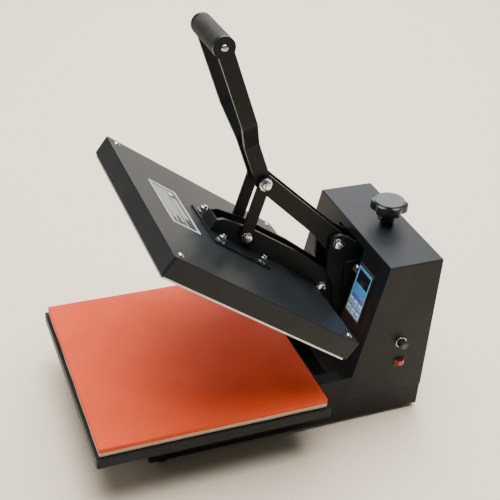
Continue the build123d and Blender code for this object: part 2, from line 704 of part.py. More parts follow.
def make_pressure_parts():
    """Lobed knob and screw in a collar, and the yoke that they raise and lower."""
    at = (0, KNOB_Y)
    with BuildPart() as collar:
        rod(flat(COLLAR_LOW), at, COLLAR_R - 0.4, COLLAR_TOP - COLLAR_LOW)
        rod(flat(BODY_TOP - SHEET - 4), at, COLLAR_FLANGE_R, 4)
        rod(flat(COLLAR_LOW), at, SCREW_R + RUN, COLLAR_TOP - COLLAR_LOW, Mode.SUBTRACT)
    keep(collar, "screw_collar")
    low = BODY_TOP + KNOB_LOW
    with BuildPart() as knob:
        with BuildSketch(flat(low)):
            with Locations(at):
                Circle(KNOB_R - 4)
                with PolarLocations(KNOB_R - LOBE_R, KNOB_LOBES):
                    Circle(LOBE_R)
        extrude(amount=KNOB_H)
        fillet(knob.edges().group_by(Axis.Z)[-1], 2.0)
        rod(flat(low + KNOB_H), at, KNOB_R - 7, 2)
        rod(flat(COLLAR_TOP + FREE), at, STEM_R, low - COLLAR_TOP)
        rod(flat(COLLAR_TOP), at, SCREW_R + RUN, low + KNOB_H - 5 - COLLAR_TOP, Mode.SUBTRACT)
        rod(behind(KNOB_Y), (0, BODY_TOP + SET_UP), SET_R + RUN, -STEM_R - 2, Mode.SUBTRACT)
    keep(knob, "pressure_knob")
    with BuildPart() as set_screw:
        rod(behind(KNOB_Y - SCREW_R - 0.2), (0, BODY_TOP + SET_UP), SET_R, SCREW_R - STEM_R - 1)
        rod(behind(KNOB_Y - STEM_R - 0.4), (0, BODY_TOP + SET_UP), 2 * SET_R, -5)
    keep(set_screw, "knob_set_screw")
    with BuildPart() as screw:
        bottom = NUT_LOW - PRESSURE_TRAVEL - 2
        rod(flat(bottom), at, SCREW_R, low + KNOB_H - 5.4 - bottom)
        rod(flat(COLLAR_LOW - 5.5), at, THRUST_R, 5)
    keep(screw, "pressure_screw")
    with BuildPart() as yoke:
        y, z = PIVOT
        outline = [
            (y, z + YOKE_HEAD), (y + 9, z + YOKE_HEAD - 3.6), (y + 34, z - 15), (KNOB_Y - NUT_HALF, NUT_HIGH),
            (KNOB_Y + NUT_HALF, NUT_HIGH), (KNOB_Y + NUT_HALF, NUT_LOW), (KNOB_Y - NUT_HALF, NUT_LOW),
            (y + 28, z - 42), (y - 9, z - 9.4),
        ]
        for _, hand in SIDES:
            shape(side(hand * YOKE_IN), outline, hand * PLATE)
            rod(side(hand * YOKE_IN), PIVOT, YOKE_HEAD, hand * PLATE)
        block(flat(NUT_LOW), at, 2 * YOKE_IN + 1, 2 * NUT_HALF, NUT_HIGH - NUT_LOW)
        rod(side(-YOKE_OUT), PIVOT, PIVOT_R + RUN, 2 * YOKE_OUT, Mode.SUBTRACT)
        rod(flat(NUT_LOW - 1), at, SCREW_R + RUN, NUT_HIGH - NUT_LOW + 2, Mode.SUBTRACT)
    keep(yoke, "pressure_yoke")
    with BuildPart() as bolt:
        outer = TOWER_OUT + 0.1
        rod(side(-outer), PIVOT, PIVOT_R, 2 * outer)
        for _, hand in SIDES:
            rod(side(hand * outer), PIVOT, TOWER_HEAD, hand * PIVOT_WASHER_T)
            nut_on_stud(hand * (outer + PIVOT_WASHER_T), hand, PIVOT, PIVOT_NUT_R, PIVOT_NUT_T)
    keep(bolt, "lever_pivot_bolt")


# ---- lever and links --------------------------------------------------------------------------

JOGGLE_FROM, JOGGLE_TO = 72.0, 124.0    # the handle plates spread between these, past the knee
JOGGLE_R = 20.0
HEEL = 48.0              # the lever is deepened from the pivot to this far along it


def bar(plane, p, q, width_p, width_q, length):
    """A straight bar from p to q with round ends."""
    half_p, half_q = width_p / 2, width_q / 2
    far = between(p, q)
    corners = [
        beyond(p, q, 0, half_p), beyond(p, q, far, half_q),
        beyond(p, q, far, -half_q), beyond(p, q, 0, -half_p),
    ]
    shape(plane, corners, length)
    rod(plane, p, half_p, length)
    rod(plane, q, half_q, length)


def make_lever_plates():
    """Each plate is cut to its side outline, and bent outwards between the knee and the grip."""
    heel_y, heel_z = PIVOT
    for name, hand in SIDES:
        inner = hand * ARM_IN
        reach = hand * (GRIP_HALF - ARM_IN + 1)
        with BuildPart() as plate:
            bar(side(inner), PIVOT, KNEE, LEVER_W + 2, LEVER_W - 2, reach)
            heel = [
                beyond(PIVOT, KNEE, HEEL, LEVER_W / 2), (heel_y - 14, heel_z - 20), (heel_y, heel_z - 16),
                PIVOT,
            ]
            shape(side(inner), heel, reach)
            bar(side(inner), KNEE, GRIP, HANDLE_W, HANDLE_W, reach)
            rod(side(inner), GRIP, GRIP_R, reach)
            spread = GRIP_HALF - PLATE
            bend = Plane(
                origin=(0, KNEE[0] - Y_MID, KNEE[1] + FOOT_H), x_dir=(1, 0, 0),
                z_dir=(0, -sin(HANDLE_DIR), cos(HANDLE_DIR)),
            )
            far = HANDLE_LEN + 2 * GRIP_R
            near = -LEVER_ARM - 2 * LEVER_W
            ribbon = [
                (hand * ARM_IN, near), (hand * ARM_IN, JOGGLE_FROM), (hand * spread, JOGGLE_TO),
                (hand * spread, far), (hand * GRIP_HALF, far), (hand * GRIP_HALF, JOGGLE_TO - 3),
                (hand * ARM_OUT, JOGGLE_FROM - 3), (hand * ARM_OUT, near),
            ]
            with BuildSketch(bend.offset(-LEVER_ARM - HANDLE_LEN)) as turns:
                with BuildLine():
                    Polyline(*ribbon, close=True)
                make_face()
                fillet(turns.vertices().sort_by(Axis.Y)[2:-2], JOGGLE_R)
            extrude(amount=2 * (LEVER_ARM + HANDLE_LEN), mode=Mode.INTERSECT)
            rod(side(0), PIVOT, PIVOT_R + RUN, 2 * hand * GRIP_HALF, Mode.SUBTRACT)
            rod(side(0), KNEE, PIVOT_R + RUN, hand * ARM_OUT, Mode.SUBTRACT)
            rod(side(0), GRIP, BOLT_R + RUN, 2 * hand * GRIP_HALF, Mode.SUBTRACT)
        keep(plate, f"{name}_lever_plate")


CORE_R = 8.0
GRIP_HEAD_R = 5.6
GRIP_HEAD_T = 3.5


def make_grip():
    inside = GRIP_HALF - PLATE
    with BuildPart() as sleeve:
        with BuildSketch(side(-inside + 0.2)):
            with Locations(GRIP):
                Circle(GRIP_R)
                Circle(CORE_R + RUN, mode=Mode.SUBTRACT)
        extrude(amount=2 * inside - 0.4)
        chamfer(sleeve.edges().filter_by(GeomType.CIRCLE).group_by(SortBy.RADIUS)[-1], 1.0)
    keep(sleeve, "grip_sleeve")
    with BuildPart() as core:
        rod(side(-inside), GRIP, CORE_R, 2 * inside)
        for _, hand in SIDES:
            rod(side(hand * (inside - 25)), GRIP, BOLT_R + RUN, hand * 25, Mode.SUBTRACT)
    keep(core, "grip_core")
    with BuildPart() as screws:
        for _, hand in SIDES:
            rod(side(hand * (inside - 20)), GRIP, BOLT_R, hand * (20 + PLATE))
            rod(side(hand * GRIP_HALF), GRIP, GRIP_HEAD_R, hand * GRIP_HEAD_T)
        fillet(screws.faces().sort_by(Axis.X)[-1].edges() + screws.faces().sort_by(Axis.X)[0].edges(), 1.5)
    keep(screws, "grip_screws")
    with BuildPart() as pin:
        rod(side(-ARM_OUT), KNEE, PIVOT_R, 2 * ARM_OUT)
    keep(pin, "knee_pin")


def make_links():
    """Outer link bars; their knee bolts are stubs that stop short of the lever plates."""
    for name, hand in SIDES:
        with BuildPart() as link:
            bar(side(hand * LINK_IN), LINK_LOW, KNEE, LINK_W, LINK_W, hand * LINK_T)
            for at in (LINK_LOW, KNEE):
                rod(side(hand * LINK_IN), at, PIVOT_R + RUN, hand * LINK_T, Mode.SUBTRACT)
        keep(link, f"{name}_link")
    with BuildPart() as studs:
        for _, hand in SIDES:
            outer = LINK_OUT + 0.1
            rod(side(hand * LINK_IN), KNEE, PIVOT_R, hand * (LINK_T + 0.1))
            rod(side(hand * outer), KNEE, KNEE_WASHER_R, hand * KNEE_WASHER_T)
            nut_on_stud(hand * (outer + KNEE_WASHER_T), hand, KNEE, LINK_NUT_R, LINK_NUT_T)
    keep(studs, "knee_bolts")
    with BuildPart() as bolt:
        outer = LINK_OUT + 0.2
        rod(side(-outer), LINK_LOW, PIVOT_R, 2 * outer)
        for _, hand in SIDES:
            rod(side(hand * outer), LINK_LOW, LINK_W / 2 - 2, hand * WASHER_T)
            nut_on_stud(hand * (outer + WASHER_T), hand, LINK_LOW, LINK_NUT_R, LINK_NUT_T)
    keep(bolt, "link_bolt")


# ---- arm and hot platen -----------------------------------------------------------------------

HINGE_BH = (HINGE[0], HINGE_Z - HOT_FACE)
ARM_LOW = COVER_H + SPREADER_T
ARM_FRONT_B = PLATEN / 2 - 55.0
FRONT_H = 19.0           # height of the arm plates at their front end
HUB_R = 20.0
TAIL = (HINGE_BH[0] + 45.0, HINGE_BH[1] - 16.0)
TAIL_PIN_R = 4.0
CROSS_BOLT = (PLATEN + 9.5, COVER_H + 4.0)
CROSS_BOLT_R = 5.0
CROSS_WASHER_T = 1.2
SPREADER_BOLTS = [
    (x, PLATEN / 2 + b)
    for x in (-SPREADER_BOLT_X, SPREADER_BOLT_X)
    for b in (-SPREADER_BOLT_B, SPREADER_BOLT_B)
]
CORNERS = [(x, b) for x in (CORNER_SCREW - PLATEN / 2, PLATEN / 2 - CORNER_SCREW)
           for b in (CORNER_SCREW, PLATEN - CORNER_SCREW)]
THREAD_DEPTH = 8.0


def arm_outline():
    b0, low, rear = ARM_FRONT_B, ARM_LOW, PLATEN + 2.0
    hub_b, hub_h = HINGE_BH
    return [
        (b0, low), (b0, low + FRONT_H), (b0 + 10, low + FRONT_H + 6), (LINK_B, low + 32),
        (LINK_B + 100, low + 34), (rear + 3, low + 29), (hub_b + 11, hub_h + 16.7), HINGE_BH,
        (hub_b - 10, hub_h - 17.3),
        (rear + 16, low - 19), (rear, low - 15), (rear, low),
    ]


def make_arm():
    for name, hand in SIDES:
        inner = hand * ARM_IN
        with BuildPart() as plate:
            shape(arm_side(inner), arm_outline(), hand * PLATE)
            bar(arm_side(inner), HINGE_BH, TAIL, 2 * HUB_R, 18, hand * PLATE)
            rod(arm_side(inner), HINGE_BH, HINGE_R + RUN, hand * PLATE, Mode.SUBTRACT)
            rod(arm_side(inner), (LINK_B, LINK_H), PIVOT_R + RUN, hand * PLATE, Mode.SUBTRACT)
            rod(arm_side(inner), TAIL, TAIL_PIN_R + RUN, hand * PLATE, Mode.SUBTRACT)
            rod(arm_side(inner), CROSS_BOLT, CROSS_BOLT_R + RUN, hand * PLATE, Mode.SUBTRACT)
        keep(plate, f"{name}_arm_plate")
    with BuildPart() as spacers:
        tie = (ARM_FRONT_B + 2, ARM_LOW + FRONT_H / 2)
        block(arm_side(-ARM_IN), tie, 4, FRONT_H, 2 * ARM_IN)
        with BuildSketch(arm_side(-ARM_IN)):
            with Locations(HINGE_BH):
                Circle(HINGE_R + 5)
                Circle(HINGE_R + RUN, mode=Mode.SUBTRACT)
        extrude(amount=2 * ARM_IN)
        rod(arm_side(-ARM_OUT), TAIL, TAIL_PIN_R, 2 * ARM_OUT)
    keep(spacers, "arm_spacers")
    with BuildPart() as bolt:
        rod(arm_side(-ARM_OUT), CROSS_BOLT, CROSS_BOLT_R, 2 * ARM_OUT)
        for _, hand in SIDES:
            rod(arm_side(hand * ARM_OUT), CROSS_BOLT, 1.6 * CROSS_BOLT_R, hand * CROSS_WASHER_T)
            nut(arm_side(hand * (ARM_OUT + CROSS_WASHER_T)), CROSS_BOLT, 1.5 * CROSS_BOLT_R, hand * 5)
    keep(bolt, "arm_cross_bolt")


def make_spreader():
    with BuildPart() as spreader:
        with BuildSketch(arm_flat(COVER_H)):
            with Locations((0, PLATEN / 2)):
                RectangleRounded(SPREADER_W, SPREADER_L, 3)
            with Locations(*SPREADER_BOLTS):
                Circle(BOLT_R + RUN, mode=Mode.SUBTRACT)
        extrude(amount=SPREADER_T)
    keep(spreader, "spreader_plate")
    with BuildPart() as bolts:
        low = HOT_PLATE_T - THREAD_DEPTH + 1
        for at in SPREADER_BOLTS:
            rod(arm_flat(low), at, BOLT_R, ARM_LOW + 12 - low)
            rod(arm_flat(ARM_LOW), at, 9, WASHER_T)
            nut(arm_flat(ARM_LOW + WASHER_T), at, 7.5, 7)
    keep(bolts, "spreader_bolts")


SMALL_R = 2.5


def make_platen():
    """Pressed cover, ceramic wool and cast hot plate, held together by the corner screws."""
    middle = (0, PLATEN / 2)
    along = Axis(arm_flat(0).origin, arm_flat(0).z_dir)
    with BuildPart() as cover:
        block(arm_flat(COVER_LIFT), middle, PLATEN, PLATEN, COVER_H - COVER_LIFT)
        fillet(cover.edges().filter_by(along), 4.0)
        fillet(cover.faces().sort_by(along)[-1].edges(), 1.5)
        hollow = PLATEN - 2 * SHEET
        block(arm_flat(0), middle, hollow, hollow, COVER_H - SHEET, Mode.SUBTRACT)
        for at in CORNERS:
            rod(arm_flat(COVER_LIFT), at, SMALL_R + RUN, COVER_H, Mode.SUBTRACT)
        for at in SPREADER_BOLTS:
            rod(arm_flat(COVER_LIFT), at, BOLT_R + RUN, COVER_H, Mode.SUBTRACT)
    keep(cover, "platen_cover")
    plate_side = PLATEN - 2 * SHEET - 2.4
    with BuildPart() as plate:
        block(arm_flat(0), middle, plate_side, plate_side, HOT_PLATE_T)
        fillet(plate.edges().filter_by(along), 5.0)
        for at in CORNERS:
            rod(arm_flat(HOT_PLATE_T - THREAD_DEPTH), at, SMALL_R + RUN, THREAD_DEPTH, Mode.SUBTRACT)
        for at in SPREADER_BOLTS:
            rod(arm_flat(HOT_PLATE_T - THREAD_DEPTH), at, BOLT_R + RUN, THREAD_DEPTH, Mode.SUBTRACT)
    keep(plate, "hot_plate")
    with BuildPart() as wool:
        block(arm_flat(HOT_PLATE_T), middle, plate_side - 10, plate_side - 10, WOOL_T)
        for at in CORNERS:
            rod(arm_flat(HOT_PLATE_T), at, SMALL_R + 2, WOOL_T, Mode.SUBTRACT)
        for at in SPREADER_BOLTS:
            rod(arm_flat(HOT_PLATE_T), at, BOLT_R + 2, WOOL_T, Mode.SUBTRACT)
    keep(wool, "ceramic_wool")
    with BuildPart() as screws:
        low = HOT_PLATE_T - THREAD_DEPTH + 1
        for at in CORNERS:
            rod(arm_flat(low), at, SMALL_R, COVER_H - low)
            rod(arm_flat(COVER_H), at, 2 * SMALL_R, 2.6)
        fillet(screws.faces().sort_by(along)[-len(CORNERS):].edges(), 1.2)
    keep(screws, "cover_screws")


SPRING_R = 4.0
SPRING_WIRE_R = 0.8
SPRING_PITCH = 3.0
SPRING_X = 8.0
SPRING_LOW = FLOOR_TOP + 17.0


def make_springs():
    """Extension springs that draw the arm's tail down to the anchor bar on the floor plate."""
    y, z = opened(*TAIL)
    height = z - TAIL_PIN_R - 2 - SPRING_LOW
    with BuildPart() as springs:
        for x in (-SPRING_X, SPRING_X):
            base = Location((x, y - Y_MID, SPRING_LOW + FOOT_H))
            with BuildLine(Plane(base)) as coil:
                Helix(SPRING_PITCH, height, SPRING_R)
            with BuildSketch(Plane(origin=coil.line @ 0, z_dir=coil.line % 0)):
                Circle(SPRING_WIRE_R)
            sweep(path=coil.line, is_frenet=True)
    keep(springs, "lift_springs")


make_rails()
make_cross_member()
make_floor()
make_feet()
make_table()
make_towers()
make_tower_brackets()
make_tower_fasteners()
make_hinge_shaft()
make_housing()
make_rear_panel()
make_inlet()
make_panel()
make_buttons()
make_side_fittings()
make_pressure_parts()
make_lever_plates()
make_grip()
make_links()
make_arm()
make_spreader()
make_platen()
make_springs()
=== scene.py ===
# %% [markdown]
# # A clamshell heat press
# This lesson dresses a working model of a heat press. The model comes with its real sizes, its
# bodies and its joints already fixed, so nothing here moves or resizes it. What is left is what
# an eye notices: powder coat, chrome, silicone, the printed panel, and the heads of the bolts.

# %% Load the frame
import bmesh
import bpy
import json
from math import cos, pi, radians, sin, sqrt
from mathutils import Matrix, Vector
from mathutils.noise import noise


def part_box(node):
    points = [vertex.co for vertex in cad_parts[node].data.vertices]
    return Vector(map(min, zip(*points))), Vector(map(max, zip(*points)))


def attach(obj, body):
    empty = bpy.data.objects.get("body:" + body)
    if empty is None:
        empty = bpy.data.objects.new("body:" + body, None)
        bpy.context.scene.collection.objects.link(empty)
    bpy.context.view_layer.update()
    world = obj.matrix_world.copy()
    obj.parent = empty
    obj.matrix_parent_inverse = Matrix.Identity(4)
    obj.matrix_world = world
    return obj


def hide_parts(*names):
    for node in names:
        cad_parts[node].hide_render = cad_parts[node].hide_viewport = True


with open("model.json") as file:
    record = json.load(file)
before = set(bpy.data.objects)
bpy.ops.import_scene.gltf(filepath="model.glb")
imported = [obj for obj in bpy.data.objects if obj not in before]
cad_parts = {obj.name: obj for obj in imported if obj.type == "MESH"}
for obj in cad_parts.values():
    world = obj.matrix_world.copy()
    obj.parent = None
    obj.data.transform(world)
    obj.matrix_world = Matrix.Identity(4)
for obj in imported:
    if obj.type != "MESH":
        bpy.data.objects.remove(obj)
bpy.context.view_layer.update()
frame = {"nodes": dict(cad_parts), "record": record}

MM = 0.001
NODES = frame["nodes"]
JOINTS = {joint["name"]: joint for joint in frame["record"]["behaviour"]["joints"]}

# %% [markdown]
# ## Camera
# The press is seen from its right, a little above, with the camera tipped by a few degrees. An
# azimuth, a height angle, a roll and a distance say that in four numbers, which are easier to
# correct by eye than a matrix. The camera comes first, because every look is judged through it.

# %% Camera
AZIMUTH, ELEVATION, ROLL = radians(66.86), radians(32.83), radians(3.81)
LENS = 71.72
CAMERA_AT = Vector((1.2662, -0.5308, 1.1909))


def place_camera():
    data = bpy.data.cameras.new("camera")
    data.lens = LENS
    camera = bpy.data.objects.new("camera", data)
    bpy.context.collection.objects.link(camera)
    back = Vector((sin(AZIMUTH) * cos(ELEVATION), -cos(AZIMUTH) * cos(ELEVATION), sin(ELEVATION)))
    level = Vector((cos(AZIMUTH), sin(AZIMUTH), 0))
    above = back.cross(level)
    right = level * cos(ROLL) + above * sin(ROLL)
    up = back.cross(right)
    turn = Matrix((right, up, back)).transposed()
    camera.matrix_world = Matrix.Translation(CAMERA_AT) @ turn.to_4x4()
    bpy.context.scene.camera = camera


place_camera()

# %% [markdown]
# ## Shader maths
# A finish is a small calculation over the surface. Math nodes wired by hand are hard to read, so
# one class wraps a socket and lets Python's own operators add those nodes. Colours and vectors
# are kept away from it, because a Math node turns them grey.


# %% Numbers that flow through a material
class Number:
    """A socket that carries one number; arithmetic on it adds Math nodes."""

    def __init__(self, nodes, socket):
        self.nodes, self.socket = nodes, socket

    def math(self, operation, *others, clamp=False):
        return self.nodes.node(
            "ShaderNodeMath", {"operation": operation, "use_clamp": clamp}, self, *others
        ).number()

    def __add__(self, other): return self.math("ADD", other)
    __radd__ = __add__
    def __mul__(self, other): return self.math("MULTIPLY", other)
    __rmul__ = __mul__
    def __sub__(self, other): return self.math("SUBTRACT", other)
    def __rsub__(self, other): return (self * -1) + other
    def __truediv__(self, other): return self.math("DIVIDE", other)
    def __pow__(self, other): return self.math("POWER", other)

    def between(self, low, high):
        """0 up to low and 1 from high, with a straight ramp between."""
        return ((self - low) / (high - low)).math("ADD", 0.0, clamp=True)


class Made:
    """A node that was just added, with short ways to its outputs."""

    def __init__(self, nodes, node):
        self.nodes, self.node = nodes, node

    def number(self, name=0):
        return Number(self.nodes, self.node.outputs[name])

    def out(self, name=0):
        return self.node.outputs[name]


class Nodes:
    """A node tree under construction. Every node but the Math nodes comes from one method."""

    def __init__(self, tree):
        self.tree = tree

    def node(self, kind, settings=None, *values, **named):
        """Adds a node, sets its settings, then gives its sockets their values or links."""
        node = self.tree.nodes.new(kind)
        for key, value in (settings or {}).items():
            setattr(node, key, value)
        sockets = [(node.inputs[i], v) for i, v in enumerate(values)]
        sockets += [(node.inputs[k.replace("_", " ")], v) for k, v in named.items()]
        for socket, value in sockets:
            for part in value if isinstance(value, list) else [value]:
                part = part.socket if isinstance(part, Number) else part
                if isinstance(part, bpy.types.NodeSocket):
                    self.tree.links.new(part, socket)
                else:
                    socket.default_value = part
        return Made(self, node)


class Finish(Nodes):
    """A material under construction. Its constants are set on the shader's own sockets."""

    def __init__(self, name, colour, roughness, **constants):
        self.material = bpy.data.materials.new(name)
        self.material.use_nodes = True
        super().__init__(self.material.node_tree)
        self.shader = self.tree.nodes["Principled BSDF"]
        self.shader.inputs["Base Color"].default_value = (*colour, 1)
        self.shader.inputs["Roughness"].default_value = roughness
        self.colour, self.roughness = colour, roughness
        for socket, value in constants.items():
            self.shader.inputs[socket.replace("_", " ")].default_value = value
        self.place = self.node("ShaderNodeTexCoord").out("Object")

    def noise(self, size, detail=2.0, roughness=0.5):
        """Soft noise whose grains are about size metres across."""
        grain = self.node(
            "ShaderNodeTexNoise", None, Vector=self.place, Scale=1 / size, Detail=detail,
            Roughness=roughness,
        )
        return grain.number(0)

    def cells(self, size):
        """Distance from the nearest of many scattered points, for pores and pebbles."""
        return self.node("ShaderNodeTexVoronoi", None, Vector=self.place, Scale=1 / size).number(0)

    def mix(self, mask, low, high):
        """The colour low where mask is 0 and high where it is 1."""
        node = self.node("ShaderNodeMix", {"data_type": "RGBA"})
        self.tree.links.new(mask.socket, node.node.inputs[0])
        for socket, value in ((node.node.inputs[6], low), (node.node.inputs[7], high)):
            if isinstance(value, bpy.types.NodeSocket):
                self.tree.links.new(value, socket)
            else:
                socket.default_value = (*value, 1)
        return node.out(2)

    def rounded(self, radius):
        """A normal that rolls over sharp edges, as paint does."""
        return self.node("ShaderNodeBevel", {"samples": 6}, Radius=radius).out()

    def edges(self, radius):
        """1 on sharp edges and 0 on flats, from how far the rolled normal turns."""
        flat = self.node("ShaderNodeNewGeometry").out("True Normal")
        rolled = self.rounded(radius)
        turned = self.node("ShaderNodeVectorMath", {"operation": "DOT_PRODUCT"}, rolled, flat)
        return (1 - turned.number("Value")).between(0.02, 0.2)

    def wear(self, colour=None, roughness=None, height=None, depth=0.0, edge=0.0):
        """Links what was worked out to the shader, and returns the material."""
        if colour is not None:
            self.tree.links.new(colour, self.shader.inputs["Base Color"])
        if roughness is not None:
            self.tree.links.new(roughness.socket, self.shader.inputs["Roughness"])
        normal = self.rounded(edge) if edge else None
        if height is not None:
            named = {"Normal": normal} if normal is not None else {}
            normal = self.node("ShaderNodeBump", None, Height=height, Distance=depth, **named).out()
        if normal is not None:
            self.tree.links.new(normal, self.shader.inputs["Normal"])
        return self.material


# %% [markdown]
# ## Finishes
# Nearly everything is black, so the finishes differ in gloss and grain. Powder coat has a fine
# orange peel and dulls where hands and dust reach it. Thick plates get a rolled edge through the
# normal, which catches a thin line of light as real cut plate does.


# %% Metals
def powder_coat(name, colour, roughness, edge):
    f = Finish(name, colour, roughness, Specular_IOR_Level=0.17)
    peel = f.noise(1.6 * MM, 3) * 0.7 + f.noise(0.5 * MM, 2) * 0.3
    cloud = f.noise(90 * MM, 4, 0.6)
    dust = cloud.between(0.42, 0.72) * 0.5
    rub = f.edges(1.2 * MM) * f.noise(9 * MM, 3).between(0.45, 0.75)
    pale = tuple(min(1, c * 1.5 + 0.008) for c in colour)
    tone = f.mix(dust, colour, pale)
    tone = f.mix(rub * 0.5, tone, (0.09, 0.09, 0.095))
    rough = cloud * 0.08 + peel * 0.05 + (roughness - 0.07)
    return f.wear(tone, rough, peel, 0.05 * MM, edge)


def bright_metal(name, colour, roughness, scratch, edge=0.5 * MM):
    f = Finish(name, colour, roughness, Metallic=1.0)
    haze = f.noise(14 * MM, 3)
    fine = f.noise(0.8 * MM, 4, 0.7)
    dull = tuple(c * 0.78 for c in colour)
    tone = f.mix(haze.between(0.4, 0.75) * 0.6, colour, dull)
    rough = haze * scratch + fine * scratch * 0.5 + (roughness - scratch * 0.5)
    return f.wear(tone, rough, fine, 0.01 * MM, edge)


sheet_black = powder_coat("sheet_powder_coat", (0.010, 0.0125, 0.0145), 0.44, 0.6 * MM)
cover_black = powder_coat("cover_powder_coat", (0.012, 0.0150, 0.0170), 0.40, 0.6 * MM)
plate_black = powder_coat("plate_powder_coat", (0.008, 0.0100, 0.0112), 0.40, 0.9 * MM)
base_black = powder_coat("base_powder_coat", (0.008, 0.0095, 0.0105), 0.48, 0.8 * MM)
chrome = bright_metal("chrome_plate", (0.78, 0.78, 0.80), 0.14, 0.10)
zinc = bright_metal("zinc_plate", (0.56, 0.57, 0.58), 0.30, 0.16)
aluminium = bright_metal("turned_aluminium", (0.60, 0.60, 0.61), 0.38, 0.20)
brass = bright_metal("inlet_blade_brass", (0.72, 0.58, 0.32), 0.25, 0.10)


# %% [markdown]
# Rubber, sponge and plastic scatter light in their skin instead of mirroring it. Their grain is
# what tells them apart: silicone is pebbled and a little chalky, sponge is full of open cells,
# and the moulded knob has the dull sparkle of a spark-eroded mould.


# %% Soft finishes and plastics
def silicone():
    f = Finish("silicone_orange", (0.80, 0.075, 0.014), 0.66, Specular_IOR_Level=0.2)
    pebble = f.cells(0.9 * MM) * 0.5 + f.noise(0.4 * MM, 2) * 0.5
    stain = f.noise(70 * MM, 5, 0.6)
    tone = f.mix(stain.between(0.3, 0.8), (0.80, 0.075, 0.014), (0.72, 0.060, 0.011))
    return f.wear(tone, stain * 0.16 + 0.54, pebble, 0.06 * MM)


def sponge():
    f = Finish("sponge_cream", (0.70, 0.55, 0.38), 0.85)
    pores = f.cells(1.1 * MM)
    # The pores are painted darker than the foam around them: painted shade inside the open cells.
    tone = f.mix(pores.between(0.05, 0.5), (0.48, 0.36, 0.23), (0.76, 0.61, 0.43))
    return f.wear(tone, None, pores, 0.35 * MM)


def foam_grip():
    f = Finish("grip_foam", (0.018, 0.018, 0.019), 0.78, Specular_IOR_Level=0.3)
    skin = f.cells(0.7 * MM) * 0.6 + f.noise(0.35 * MM, 2) * 0.4
    shine = f.noise(22 * MM, 3)
    tone = f.mix(shine.between(0.4, 0.7), (0.014, 0.014, 0.015), (0.030, 0.030, 0.032))
    return f.wear(tone, shine * 0.14 + 0.66, skin, 0.12 * MM, 0.8 * MM)


def moulded(name, colour, roughness, grain=0.5 * MM, edge=0.4 * MM, coat=0.0):
    f = Finish(name, colour, roughness, Coat_Weight=coat, Coat_Roughness=0.08)
    spark = f.noise(grain, 3, 0.6)
    drift = f.noise(18 * MM, 3)
    pale = tuple(min(1, c * 1.18 + 0.004) for c in colour)
    tone = f.mix(drift.between(0.35, 0.7), colour, pale)
    return f.wear(tone, drift * 0.1 + (roughness - 0.05), spark, 0.02 * MM, edge)


def ceramic_wool():
    f = Finish("ceramic_wool", (0.82, 0.80, 0.75), 0.95)
    fibre = f.noise(2.5 * MM, 6, 0.75)
    tone = f.mix(fibre.between(0.3, 0.7), (0.66, 0.63, 0.57), (0.88, 0.87, 0.83))
    return f.wear(tone, None, fibre, 0.6 * MM)


orange = silicone()
cream = sponge()
grip_black = foam_grip()
wool = ceramic_wool()
rubber = moulded("foot_rubber", (0.02, 0.02, 0.02), 0.75, 0.8 * MM)
plastic = moulded("moulded_black", (0.018, 0.018, 0.020), 0.42)
knob_black = moulded("knob_black", (0.016, 0.018, 0.020), 0.40, 0.7 * MM, 0.8 * MM)
overlay_blue = moulded("overlay_blue", (0.080, 0.44, 1.0), 0.30, 0.3 * MM, 0.3 * MM, 0.4)
overlay_pale = moulded("overlay_pale_blue", (0.42, 0.80, 1.00), 0.30, 0.3 * MM, 0.3 * MM, 0.4)
overlay_violet = moulded("overlay_violet", (0.10, 0.16, 0.66), 0.30, 0.3 * MM, 0.3 * MM, 0.4)
key_pale = moulded("key_pale_blue", (0.50, 0.86, 1.0), 0.32, 0.3 * MM, 0.6 * MM, 0.4)
key_mark = moulded("key_mark_navy", (0.02, 0.05, 0.25), 0.4)
display = moulded("display_window", (0.008, 0.010, 0.018), 0.10, 0.2 * MM, 0.2 * MM, 1.0)
display_grey = moulded("display_segment", (0.020, 0.024, 0.032), 0.25)
rocker_red = moulded("rocker_red", (0.30, 0.004, 0.004), 0.36, 0.4 * MM, 0.6 * MM)
white_ink = moulded("white_ink", (0.97, 0.98, 1.0), 0.6)
fuse_grey = moulded("fuse_tip_grey", (0.13, 0.14, 0.15), 0.5)
board_green = moulded("circuit_board", (0.015, 0.12, 0.05), 0.4)
print("finishes:", len(bpy.data.materials))

# %% [markdown]
# Every carried-over part takes one of these finishes. A list from finish to part names is easier
# to check than sixty separate lines, and the function prints what it left out.

# %% Dress the carried-over parts
FINISH_OF = {
    sheet_black: "housing_shell rear_panel",
    cover_black: "platen_cover",
    plate_black: "left_lever_plate right_lever_plate left_link right_link left_arm_plate right_arm_plate "
                 "arm_spacers spreader_plate left_tower right_tower tower_brackets pressure_yoke",
    base_black: "left_rail right_rail front_cross_member floor_plate table_tray",
    chrome: "spreader_bolts cover_screws grip_screws lever_pivot_bolt knee_bolts link_bolt knob_set_screw "
            "tray_bolts fuse_ring arm_cross_bolt tower_fasteners rear_panel_screws",
    zinc: "hinge_shaft pressure_screw grip_core knee_pin screw_collar lift_springs",
    aluminium: "hot_plate",
    orange: "silicone_pad",
    cream: "pad_backing",
    grip_black: "grip_sleeve",
    wool: "ceramic_wool",
    rubber: "rubber_feet",
    plastic: "panel_bezel switch_frame fuse_holder fuse_cap mains_inlet",
    knob_black: "pressure_knob",
    overlay_blue: "panel_overlay",
    key_pale: "mode_button up_button start_button set_button down_button stop_button",
    display: "display_window",
    board_green: "control_board",
    rocker_red: "switch_rocker",
}


def dress():
    done = set()
    for material, names in FINISH_OF.items():
        for name in names.split():
            slots = NODES[name].data.materials
            slots.clear()
            slots.append(material)
            done.add(name)
    print("parts with no finish:", sorted(set(NODES) - done))


dress()

# %% [markdown]
# ## Where things are
# Every place below comes from the frame: a part's box, a joint's axis, or the loose islands of a
# part's mesh. The open arm leans by the travel of its hinge, and the panel faces along the line
# that its keys are pressed, so both directions are read from the joints.


